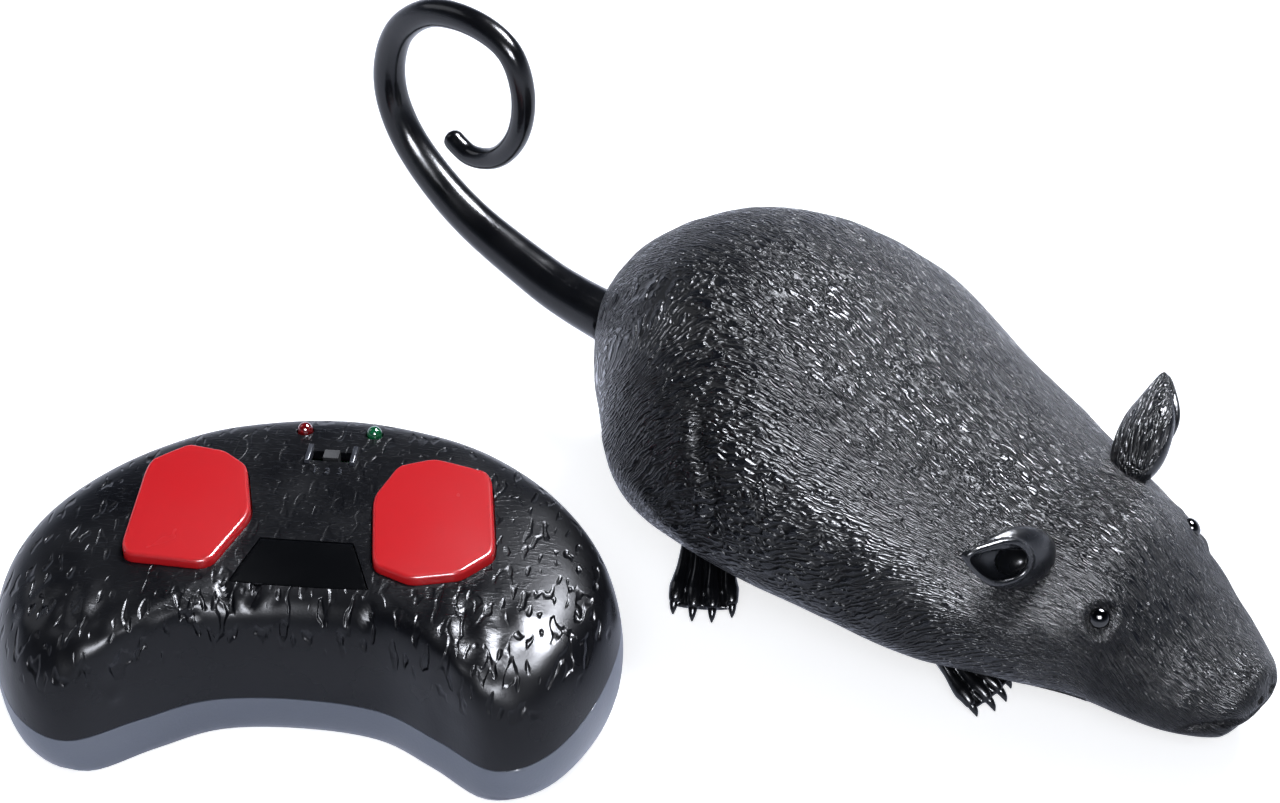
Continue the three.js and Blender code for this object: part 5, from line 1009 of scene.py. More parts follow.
def dress(node: str, finish: Finish, angle: float = 32.0) -> None:
    """Gives a CAD node its finish and smooth shading between its sharper edges.

    Args:
        node: The CAD node's name.
        finish: Its finish.
        angle: Edges sharper than this many degrees stay crisp.
    """
    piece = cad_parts[node]
    material = finish.build()
    if not piece.material_slots:
        piece.data.materials.append(material)
    for place in piece.material_slots:
        place.material = material
    # The CAD mesh is loose triangles, which only shade smooth once they are joined
    piece.data.polygons.foreach_set("use_smooth", [True] * len(piece.data.polygons))
    weld = piece.modifiers.new("joined", "WELD")
    weld.merge_threshold = 0.005 * MM
    crisp = piece.modifiers.new("crisp", "EDGE_SPLIT")
    crisp.split_angle = math.radians(angle)
    log.info("%s wears %s", node, material.name)


def middle(node: str) -> Vector:
    """Centre of a CAD node's box, in metres."""
    low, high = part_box(node)
    return (low + high) / 2


def rat_place() -> Matrix:
    """Where the rat's own millimetres lie, from the shell's box."""
    centre = middle("body_shell")
    return Matrix.Translation((centre.x, centre.y, 0)) @ Matrix.Scale(MM, 4)


def handset_place(led_back: float = 28.424) -> Matrix:
    """Where the handset's own millimetres lie, from its two lamps."""
    red, green = middle("red_led"), middle("green_led")
    run = green - red
    turn = Matrix.Rotation(math.atan2(run.y, run.x), 4, "Z")
    lamps = (red + green) / 2
    place = Matrix.Translation((lamps.x, lamps.y, 0)) @ turn @ Matrix.Scale(MM, 4)
    return place @ Matrix.Translation((0, -led_back, 0))


# The rat's assemblies

@dataclass
class RatBody:
    """The rat's upper shell with its creases, lids, nose and mouth, and the pan that closes it below."""

    form: BodyForm = field(default_factory=BodyForm)
    around: int = 200
    along: int = 210
    wall: float = 2.2
    parting: float = 14.15
    pan_reach: float = 60.15
    gap: float = 0.3
    lump: float = 17.0
    lump_height: float = 0.5
    tuft: float = 4.2
    tuft_height: float = 0.2
    mouth_start: float = 78.0
    mouth_height: float = 13.3
    mouth_slope: float = 0.10
    mouth_depth: float = 0.2
    mouth_width: float = 0.8
    calm: tuple[float, float] = (86.0, 70.0)
    flank: tuple[float, float] = (14.0, 44.0)
    belly_edge: tuple[float, float] = (32.0, 56.0)
    belly_spread: float = 0.8
    full_girth: float = 120.0
    muzzle_fineness: float = 0.45
    slope: float = 0.30
    swerves: tuple[Spot, ...] = ((-50.0, 18.0, 0.62), (22.0, 11.0, 0.45))
    # The crease before the haunch and its raised lip, the fold under the haunch, the fold and the hollow of
    # the shoulder, and the lip line
    lines: tuple[Line, ...] = (
        Line(((-31, -41, 55), (-27.5, -43.9, 48.5), (-22, -46, 42.5), (-20.5, -47.5, 35)), 1.7, -1.0),
        Line(((-34, -40, 55), (-30.5, -43.9, 48.5), (-25, -46, 42), (-24, -48, 35)), 2.2, 0.6),
        Line(((-60, -38, 33), (-42, -46.4, 33.5), (-34, -48, 30), (-25, -48, 26)), 3.0, 0.6),
        Line(((13.4, -40.7, 34), (17.0, -41.2, 27.5)), 2.4, 0.6),
        Line(((8.4, -42, 34), (12.0, -42.5, 27.5)), 3.0, -0.5),
        Line(((79.5, -15.2, 13.4), (83.4, -13.6, 15.0), (87.5, -10.2, 15.4), (90.8, 0, 15.4)), 0.9, -1.1),
    )
    # The lids, the socket and the fold below it, the hollow of the chin, the dip over the nose, the nostril
    # and its wing, the whisker pad, and the rise at the ear's root
    mounds: tuple[Mound, ...] = (
        Mound((59.3, -18.9, 34.9), (4.8, 5.5, 4.6), 0.8, 0.6),
        Mound((59.3, -18.9, 34.9), (3.1, 4.0, 2.9), -1.1, 0.3),
        Mound((61.4, -20.0, 30.6), (2.0, 4, 0.8), 0.6, 0.7),
        Mound((91.0, 0, 10.8), (4.6, 9, 2.6), -2.8, 0.6),
        Mound((84, 0, 27.5), (3.2, 6, 2.6), -0.7, 0.7),
        Mound((90, -2.3, 18.3), (1.3, 1.0, 0.8), -1.1, 0.5),
        Mound((88.5, -3.8, 18.6), (2.4, 2.2, 2.4), 0.45, 0.6),
        Mound((72, -17, 22), (11, 7, 7), 0.5, 0.6),
        Mound((36, -30, 44), (7.5, 8, 7.5), 0.6, 0.6),
    )
    wells: tuple[float, float, float, float] = (-50.0, 13.7, 14.0, 22.0)
    gear_window: Spot = (9.3, -12.2, 3.9)
    switch_window: Spot = (-71.1, -67.9, 3.1)
    cup: tuple[float, float] = (38.0, 10.0)
    screw_holes: Spot = (-76.5, 12.0, 2.2)
    lump_stretch: float = 2.4
    rib_shrink: Spot = (0.97, 0.95, 0.93)
    rib_base: float = 30.0

    def sculpt(self, place: Vector) -> float:
        """Height of the carving at a place of the form."""
        mirrored = Vector((place.x, -abs(place.y), place.z))
        height = sum(line.at(mirrored) for line in self.lines)
        height += sum(mound.at(mirrored) for mound in self.mounds)
        calm = smoothstep(*self.calm, place.x)
        height += self.lump_height * noise.noise(place / self.lump) * calm
        stretched = Vector((place.x / self.lump_stretch, place.y, place.z)) / self.tuft
        height += self.tuft_height * noise.noise(stretched) * calm
        level = self.mouth_height + (self.form.length / 2 - place.x) * self.mouth_slope
        gap = (place.z - level) / self.mouth_width
        reach = smoothstep(self.mouth_start, self.mouth_start + 4, place.x)
        height -= self.mouth_depth * math.exp(-gap * gap) * reach
        return height

    def lean(self, ahead: float) -> float:
        """Distance down the flank that the strokes have sunk by a place along the body."""
        sunk = self.slope * ahead
        for middle_of, spread, steepness in self.swerves:
            sunk += steepness * spread * math.sqrt(math.pi) / 2 * math.erf((ahead - middle_of) / spread)
        return sunk

    def skin(self, carved: bool, around: int, along: int) -> BMesh:
        """The closed body form.

        Args:
            carved: Whether the creases and lids are wanted, and the flow of the hair.
            around: Columns round the body.
            along: Rows from the rump to the nose.

        Returns:
            The form in the rat's own millimetres.
        """
        shape = bmesh.new()
        bmesh.ops.create_uvsphere(shape, u_segments=around, v_segments=along, radius=1)
        flow = shape.verts.layers.float_vector.new(Flow.ALONG_SKIN.value)
        shares, lengths = self.form.rows(along)
        rings: dict[int, dict[int, BMVert]] = {}
        for vert in shape.verts:
            row, column = lattice_cell(vert, around, along)
            rings.setdefault(row, {})[column] = vert
            vert.co = self.form.point(shares[row], column / around * math.tau)
        face_out(shape)
        if not carved:
            return shape
        heights = {vert: self.sculpt(vert.co) for vert in shape.verts}
        for vert, height in heights.items():
            vert.co += vert.normal * height
        for row, ring in rings.items():
            if len(ring) < around:
                for vert in ring.values():
                    vert[flow] = Vector((lengths[row], 0, 0))
            else:
                self.comb(ring, lengths[row], flow)
        return shape

    def comb(self, ring: dict[int, BMVert], ahead: float, flow: BMLayerItem) -> None:
        """Lays the hair's coordinates over one ring of the body, from the spine down both flanks.

        Args:
            ring: The ring's vertices by column.
            ahead: Distance of the ring along the skin from the rump.
            flow: The layer that takes the coordinates.
        """
        around = len(ring)
        top = around // 4
        columns = [ring[k % around].co for k in range(around + 1)]
        girth = sum((b - a).length for a, b in zip(columns, columns[1:])) / 2
        coarseness = self.muzzle_fineness + (1 - self.muzzle_fineness) * min(1.0, girth / self.full_girth)
        for way in (1, -1):
            down = spread = 0.0
            for k in range(around // 2 + 1):
                vert = ring[(top + way * k) % around]
                if k:
                    step = (vert.co - ring[(top + way * (k - 1)) % around].co).length
                    down += step
                    slack = 1 + self.belly_spread * smoothstep(*self.belly_edge, down)
                    spread += step * (1 / coarseness) / slack
                side = -1.0 if vert.co.y < 0 else 1.0
                sunk = self.lean(vert.co.x) * smoothstep(*self.flank, down)
                vert[flow] = Vector((ahead, side * (spread + sunk), 0))

    @staticmethod
    def parted(shape: BMesh, level: float, front: float, upper: bool) -> BMesh:
        """Cuts the body along the parting and keeps the shell's part or the pan's.

        Args:
            shape: The closed body.
            level: Height of the parting.
            front: Where the pan ends ahead.
            upper: Whether the shell's part is kept.

        Returns:
            The same shape, open along the parting.
        """
        for normal, spot in ((UP, (0, 0, level)), ((1, 0, 0), (front, 0, 0))):
            everything = [*shape.verts, *shape.edges, *shape.faces]
            bmesh.ops.bisect_plane(shape, geom=everything, plane_co=spot, plane_no=normal)
        centres = {face: face.calc_center_median() for face in shape.faces}
        gone = [face for face, spot in centres.items() if (spot.z < level and spot.x < front) == upper]
        bmesh.ops.delete(shape, geom=gone, context="FACES")
        return shape

    def build(self, place: Matrix) -> None:
        """Moulds the skin, cuts the pan's part away and gives it its wall.

        Args:
            place: Where the rat's own millimetres lie.
        """
        shape = self.skin(True, self.around, self.along)
        skin = lay_out(self.parted(shape, self.parting, self.pan_reach, True), "rat_upper_skin", place)
        thicken(skin, self.wall)
        finish_piece(skin, "rat", FUR, "fur_relief", "body_shell", crisp=60)
        self.build_pan(place)

    def build_pan(self, place: Matrix) -> None:
        """Moulds the pan, opens it for wheels, caster, door and switch, and keeps the CAD's ribs inside.

        Args:
            place: Where the rat's own millimetres lie.
        """
        edge = self.parting - self.gap
        shape = self.parted(self.skin(False, 160, 170), edge, self.pan_reach - self.gap, False)
        pan = lay_out(shape, "rat_belly_skin", place)
        thicken(pan, self.wall)
        ahead, half, near, far = self.wells
        long, right, left = self.gear_window
        back, front, wide = self.switch_window
        cup_ahead, cup_radius = self.cup
        holes_ahead, aside, hole = self.screw_holes
        low, high = -PAST, edge + PAST
        openings = gathered(
            box((ahead - half, near, low), (ahead + half, far, high)),
            box((ahead - half, -far, low), (ahead + half, -near, high)),
            box((ahead - long, right, low), (ahead + long, left, high)),
            box((back, -wide, low), (front, wide, high)),
            rod(cup_radius, low, high, 48, Vector((cup_ahead, 0, 0))),
            *[rod(hole, low, high, 24, Vector((holes_ahead, side, 0))) for side in (-aside, aside)])
        carve(pan, lay_out(openings, "pan_openings", place))
        carve(pan, lay_out(swollen(cad_copy("rat_battery_door"), self.gap * MM), "pan_door"))
        finish_piece(pan, "rat", PAN_FUR, "belly_plastic", "belly_pan", crisp=40)
        ribs = lay_out(cad_copy("belly_pan"), "rat_belly_ribs")
        inner = self.skin(False, 90, 100)
        bmesh.ops.scale(inner, vec=self.rib_shrink, space=Matrix.Translation((0, 0, -self.rib_base)),
                        verts=inner.verts)
        carve(ribs, lay_out(inner, "ribs_inside", place), Carving.OUTSIDE)
        finish_piece(ribs, "rat", DOOR_PLASTIC, "belly_plastic", crisp=30)


@dataclass
class RatEars:
    """Slipper-shaped ears: closed at the root, open towards the tip, with a rolled rim and a furred back."""

    form: BodyForm = field(default_factory=BodyForm)
    length: float = 28.0
    width: float = 14.0
    thickness: float = 8.0
    sink: float = 2.5
    flare: float = 0.25
    root: float = 0.55
    point: Spot = (-0.26, -0.85, 0.48)
    right_facing: Spot = (0.965, -0.26, 0.02)
    left_facing: Spot = (0.455, -0.52, -0.72)
    station: float = 0.585
    turn: float = math.pi + 0.155 * math.tau
    mouth: Spot = (18.9, -0.2, 3.0)
    mouth_radii: Spot = (8.6, 5.2, 4.6)
    pocket: Spot = (11.6, 0.6, 0.3)
    pocket_radii: Spot = (4.6, 3.3, 2.6)
    fold: tuple[Spot, ...] = ((11.5, -3.2, 0.6), (15, -3.0, -0.3), (20, -2.2, -0.7), (24.5, -0.6, -0.2))
    fold_radii: tuple[float, ...] = (0.9, 1.5, 1.3, 0.5)
    fold_rows: int = 24
    rim: float = 0.8
    rim_reach: float = 8.0
    rim_height: float = 2.3
    rim_dip: float = 1.6
    rim_rows: int = 60
    taper: float = 0.42
    taper_from: float = 0.55
    voxel: float = 0.3
    furred_below: float = 1.0

    def lobe(self) -> BMesh:
        """The ear's rounded form, from its root to its tip along X."""
        shape = bmesh.new()
        bmesh.ops.create_uvsphere(shape, u_segments=56, v_segments=48, radius=1)
        for vert in shape.verts:
            x, y, z = vert.co.x, vert.co.z, vert.co.y
            wide, thick = 1 + self.flare * y, 1 + self.root * y
            vert.co = Vector(((1 - y) * self.length / 2, x * wide * self.width / 2,
                              -z * thick * self.thickness / 2))
        return face_out(shape)

    def place(self, towards: Spot) -> Matrix:
        """Where an ear grows from the head, its mouth turned towards a direction."""
        along = Vector(self.point).normalized()
        mouth = Vector(towards)
        opening = (mouth - along * mouth.dot(along)).normalized()
        across = opening.cross(along)
        root = self.form.point(self.station, -self.turn) - along * self.sink
        turn = Matrix((along, across, opening)).transposed().to_4x4()
        return Matrix.Translation(root) @ turn

    def scoop(self) -> Object:
        """One ear in its own millimetres: hollowed, folded, rimmed and smoothed over."""
        ear = lay_out(self.lobe(), "ear_form")
        carve(ear, lay_out(ball(self.mouth_radii, self.mouth, 40), "ear_mouth"))
        carve(ear, lay_out(ball(self.pocket_radii, self.pocket), "ear_pocket"))
        rows, last = self.fold_rows, self.fold_rows - 1
        path = drawn([Vector(point) for point in self.fold], rows)
        fold = carried(path, [between(self.fold_radii, i / last) for i in range(rows)], 16, rows)
        ahead, aside, _ = self.mouth
        # The ring runs a step past its start, so that its ends lie in each other
        turns = [math.tau * i / self.rim_rows for i in range(self.rim_rows + 2)]
        ring = [Vector((ahead + self.rim_reach * math.cos(turn), self.mouth_radii[1] * math.sin(turn) + aside,
                        self.rim_height - self.rim_dip * math.cos(turn))) for turn in turns]
        rim = carried(ring, [self.rim] * len(ring), 14, self.rim_rows * 2, Vector((0, 0.1, 1)))
        whole = gathered(open_up(ear), fold, rim)
        whole.to_mesh(ear.data)
        whole.free()
        melt(ear, self.voxel, 5)
        flow = ear.data.attributes.new(Flow.ALONG_SKIN.value, "FLOAT_VECTOR", "POINT")
        for vert, value in zip(ear.data.vertices, flow.data):
            vert.co.y *= 1 - self.taper * smoothstep(self.length * self.taper_from, self.length, vert.co.x)
            value.vector = vert.co
        ear.data.materials.append(EAR_VINYL.build())
        ear.data.materials.append(EAR_FUR.build())
        for face in ear.data.polygons:
            face.material_index = int(face.normal.z < -0.2 and face.center.z < self.furred_below)
        return ear

    def build(self, place: Matrix) -> None:
        """Sets the right ear, and the left one turned its own way.

        Args:
            place: Where the rat's own millimetres lie.
        """
        right = self.scoop()
        right.name = "right_ear_scoop"
        other = bpy.data.objects.new("other_ear", right.data.copy())
        right.data.transform(place @ self.place(self.right_facing))
        other.data.transform(place @ self.place(self.left_facing))
        left = lay_out(mirrored_copy(other, place), "left_ear_scoop")
        for material in right.data.materials:
            left.data.materials.append(material)
        bpy.data.objects.remove(other)
        for piece, node in ((right, "right_ear"), (left, "left_ear")):
            finish_piece(piece, "rat", EAR_VINYL, "soft_vinyl", node, crisp=80)


def mirrored_copy(piece: Object, place: Matrix) -> BMesh:
    """The piece's shape on the other side of the rat.

    Args:
        piece: A piece of the rat's right side, in metres.
        place: Where the rat's own millimetres lie.

    Returns:
        The mirrored shape, its faces pointing outwards.
    """
    shape = open_up(piece)
    flip = place @ Matrix.Scale(-1, 4, Vector((0, 1, 0))) @ place.inverted()
    bmesh.ops.transform(shape, matrix=flip, verts=shape.verts)
    bmesh.ops.reverse_faces(shape, faces=shape.faces)
    return shape


@dataclass
class RatEyes:
    """Glossy beads set into the head."""

    form: BodyForm = field(default_factory=BodyForm)
    radius: float = 2.3
    flatness: float = 0.72
    proud: float = -0.45
    stem: float = 0.9
    stem_depths: tuple[float, float] = (-1.8, -5.0)
    station: float = 0.65
    turn: float = math.pi + 0.11 * math.tau
    step: float = 0.01

    def build(self, place: Matrix) -> None:
        """Makes both beads.

        Args:
            place: Where the rat's own millimetres lie.
        """
        at = self.form.point
        ahead = at(self.station + self.step, -self.turn) - at(self.station - self.step, -self.turn)
        over = at(self.station, -self.turn + self.step) - at(self.station, -self.turn - self.step)
        facing = over.cross(ahead).normalized()
        if facing.y > 0:
            facing.negate()
        centre = at(self.station, -self.turn) + facing * self.proud
        profile = [(self.radius * math.sin(a), self.flatness * self.radius * math.cos(a)) for a in
                   (math.pi * k / 28 for k in range(24))]
        profile += [*((self.stem, depth) for depth in self.stem_depths), (0, self.stem_depths[1])]
        bead = lay_out(spun(profile, 40, facing, centre), "right_eye_bead", place)
        left = lay_out(mirrored_copy(bead, place), "left_eye_bead")
        for piece, node in ((bead, "right_eye"), (left, "left_eye")):
            finish_piece(piece, "rat", EYE_BEAD, "bead", node, crisp=50)


@dataclass
class RatTail:
    """The tapering curled tail, its neck pushed through the rump."""

    root: Spot = (-91.3, 0.0, 29.8)
    neck: float = 3.2
    neck_share: float = 0.62
    neck_rounding: float = 2.2
    reach: float = 70.5
    rise: float = 66.5
    root_radius: float = 6.3
    tip_radius: float = 2.6
    taper: float = 1.6
    shares: tuple[tuple[float, float], ...] = (
        (0, 0), (0.16, 0.01), (0.32, 0.04), (0.64, 0.147), (0.867, 0.308), (0.979, 0.481), (0.993, 0.662),
        (0.923, 0.839), (0.769, 0.967), (0.573, 1), (0.42, 0.947), (0.364, 0.797), (0.392, 0.621),
        (0.49, 0.481), (0.622, 0.429), (0.727, 0.481))

    def line(self) -> list[Vector]:
        """The tail's centre line from inside the rump to the tip."""
        root = Vector(self.root)
        points = [root + Vector((-back * self.reach, 0, up * self.rise)) for back, up in self.shares]
        return drawn([root + Vector((self.neck, 0, 0))] + points, 260)

    def radius(self, share: float, length: float) -> float:
        """Radius at a share of the way along the tail, rounded off at the tip and the root."""
        size = self.tip_radius + (self.root_radius - self.tip_radius) * (1 - share) ** self.taper
        left = (1 - share) * length / self.tip_radius
        if left < 1:
            size *= math.sqrt(max(0.0, 1 - (1 - left) ** 2))
        start = share * length
        if start < self.neck_rounding:
            size *= self.neck_share + (1 - self.neck_share) * smoothstep(0, self.neck_rounding, start)
        return size

    def build(self, place: Matrix) -> None:
        """Draws the tail out along its line.

        Args:
            place: Where the rat's own millimetres lie.
        """
        line = self.line()
        length = sum((b - a).length for a, b in zip(line, line[1:]))
        last = len(line) - 1
        radii = [self.radius(i / last, length) for i in range(last + 1)]
        tail = lay_out(carried(line, radii, 32, 320, up=BACKWARD), "curled_tail", place)
        finish_piece(tail, "rat", LIMB_VINYL, "soft_vinyl", "tail", crisp=60)


@dataclass
class RatFoot:
    """One pair of clawed feet: a sloping slab with four glossy ridges, scalloped webs, knuckles and claws."""

    name: str
    length: float
    width: float
    ahead: float
    aside: float
    splay: float
    usual_width: float = 13.0
    sole: float = 0.8
    ankle_top: float = 15.0
    ankle_back: float = 1.5
    rays: int = 4
    rows: int = 40
    nail_rows: int = 20
    # Share of the foot's length and height of each place of the slab's middle line
    slab: tuple[tuple[float, float], ...] = ((0.12, 10.2), (0.36, 6.4), (0.62, 4.0), (0.88, 2.4))
    slab_widths: tuple[float, ...] = (5.0, 5.3, 5.7, 6.3, 6.2)
    slab_heights: tuple[float, ...] = (3.0, 2.6, 1.9, 1.3, 0.8)
    # Share of the ray's length, share of its distance aside, and height
    bone_root: tuple[float, float] = (-0.8, 0.62)
    bone: tuple[Spot, ...] = (
        (0.14, 0.66, 11.2), (0.38, 0.74, 7.8), (0.64, 0.86, 5.0), (0.82, 0.94, 3.9), (0.93, 0.99, 2.3))
    bone_radii: tuple[float, ...] = (1.0, 1.15, 1.25, 1.35, 1.95, 1.25)
    nail: tuple[Spot, ...] = ((0.86, 0.97, 3.4), (0.92, 0.99, 2.8), (0.97, 1.0, 1.9))
    nail_radii: tuple[float, ...] = (1.0, 1.0, 0.7, 0.12)
    outer_shortening: float = 0.10
    voxel: float = 0.28

    def build(self, place: Matrix) -> None:
        """Makes the right foot and mirrors it.

        Args:
            place: Where the rat's own millimetres lie.
        """
        size, reach, last = self.width / self.usual_width, self.length, self.rows - 1
        spine = drawn([Vector((-self.ankle_back, 0, self.ankle_top)),
                       *(Vector((reach * share, 0, high)) for share, high in self.slab)], self.rows)
        wide = [between(self.slab_widths, i / last) * size * min(1.0, 0.3 + i / 3) for i in range(self.rows)]
        tall = [between(self.slab_heights, i / last) * size for i in range(self.rows)]
        parts, claws = [carried(spine, wide, 28, self.rows + 4, tall=tall)], []
        for k in range(self.rays):
            share = 2 * k / (self.rays - 1) - 1
            side = share * self.width / 2
            length = reach * (1 - self.outer_shortening * share * share)
            behind, inner = self.bone_root
            bone, nail = ([Vector((length * along, side * aside, high)) for along, aside, high in points]
                          for points in (self.bone, self.nail))
            path = drawn([Vector((behind, side * inner, self.ankle_top)), *bone], self.rows)
            radii = [between(self.bone_radii, i / last) * size * min(1.0, 0.3 + (last - i) / 3)
                     for i in range(self.rows)]
            parts.append(carried(path, radii, 18, self.rows + 4))
            radii = [between(self.nail_radii, i / (self.nail_rows - 1)) * size for i in range(self.nail_rows)]
            path = drawn([*nail, Vector((length, side, self.sole))], self.nail_rows)
            claws.append(carried(path, radii, 14, self.nail_rows + 4))
        foot = lay_out(gathered(*parts), f"right_{self.name}_form")
        melt(foot, self.voxel, 3)
        whole = open_up(foot)
        bpy.data.objects.remove(foot)
        turn = Matrix.Rotation(-math.radians(self.splay), 4, "Z")
        where = place @ Matrix.Translation((self.ahead, self.aside, 0)) @ turn
        right = lay_out(gathered(whole, *claws), f"right_{self.name}_form", where)
        left = lay_out(mirrored_copy(right, place), f"left_{self.name}_form")
        for piece, side in ((right, "right"), (left, "left")):
            finish_piece(piece, "rat", LIMB_VINYL, "soft_vinyl", f"{side}_{self.name}", crisp=70)


@dataclass
class RollingGear:
    """Tyres and wheels of the rear axle, the caster and the geared motor."""

    axle_ahead: float = -50.0
    radius: float = 12.5
    width: float = 5.6
    track: float = 36.0
    tyre: float = 2.2
    treads: int = 30
    tread_depth: float = 0.35
    # How far each corner of the shoulder lies in from the tread and from the tyre's side
    shoulder: tuple[tuple[float, float], ...] = ((0.9, 0.0), (0.3, 0.35), (0.0, 1.0))
    tread_shift: float = 0.13

    def tyre_shape(self, side: int) -> BMesh:
        """A tyre with cross treads and rounded shoulders."""
        half, outer, inner = self.width / 2, self.radius - self.tread_depth, self.radius - self.tyre
        rim = [(outer - drop, half - inset) for drop, inset in self.shoulder]
        profile = [(inner, -half), *((radius, -high) for radius, high in rim), *reversed(rim), (inner, half)]
        shape = spun(profile, self.treads * 4, BACKWARD)
        for vert in shape.verts:
            away = math.hypot(vert.co.x, vert.co.z)
            if away > outer - 0.05:
                phase = math.atan2(vert.co.z, vert.co.x) / math.tau * self.treads
                if (phase + self.tread_shift) % 1 < 0.5:
                    vert.co.x *= self.radius / away
                    vert.co.z *= self.radius / away
        hub = (self.axle_ahead, side * self.track / 2, self.radius)
        bmesh.ops.translate(shape, vec=hub, verts=shape.verts)
        return shape

    def build(self, place: Matrix) -> None:
        """Makes the tyres and dresses the rest of the drive.

        Args:
            place: Where the rat's own millimetres lie.
        """
        for name, side in (("right", -1), ("left", 1)):
            tyre = lay_out(self.tyre_shape(side), f"{name}_treaded_tyre", place)
            finish_piece(tyre, "rear_axle_set", TYRE_RUBBER, "tyre", f"{name}_tyre", crisp=30)
            dress(f"{name}_wheel", NYLON, 28)
        dress("caster_wheel", TYRE_RUBBER, 35)
        for node in ("gearbox_housing", "gearbox_cover", "caster_fork", "power_switch_slider"):
            dress(node, GREY_PLASTIC)
        for node in ("compound_gear", "drive_gear"):
            dress(node, NYLON, 20)
        for node in ("motor_can", "motor_shaft", "rear_axle", "caster_axle", "power_switch_body"):
            dress(node, STEEL)
        dress("motor_pinion", BRASS, 20)


@dataclass
class InnerWorks:
    """Cells, contacts, boards, doors and screws of the rat and the handset."""

    steel: tuple[str, ...] = ("cell_bridge", "spring_terminal", "plate_terminal")

    def build(self) -> None:
        """Dresses the pieces that keep their CAD shape."""
        for part in ("rat", "handset"):
            for side in ("right", "left"):
                dress(f"{part}_{side}_cell", CELL_SLEEVE, 35)
            for piece in self.steel:
                dress(f"{part}_{piece}", STEEL)
            dress(f"{part}_circuit_board", BOARD)
            dress(f"{part}_door_screw", STEEL)
        dress("rat_battery_door", DOOR_PLASTIC, 25)
        dress("handset_battery_door", CASE_BASE_PAINTED_REFLECTION, 25)
        dress("infrared_receiver", DARK_LENS, 40)
        for node in ("right_pan_screw", "left_pan_screw", "left_handset_screw", "right_handset_screw",
                     "channel_switch_body"):
            dress(node, STEEL)


# The handset's assemblies

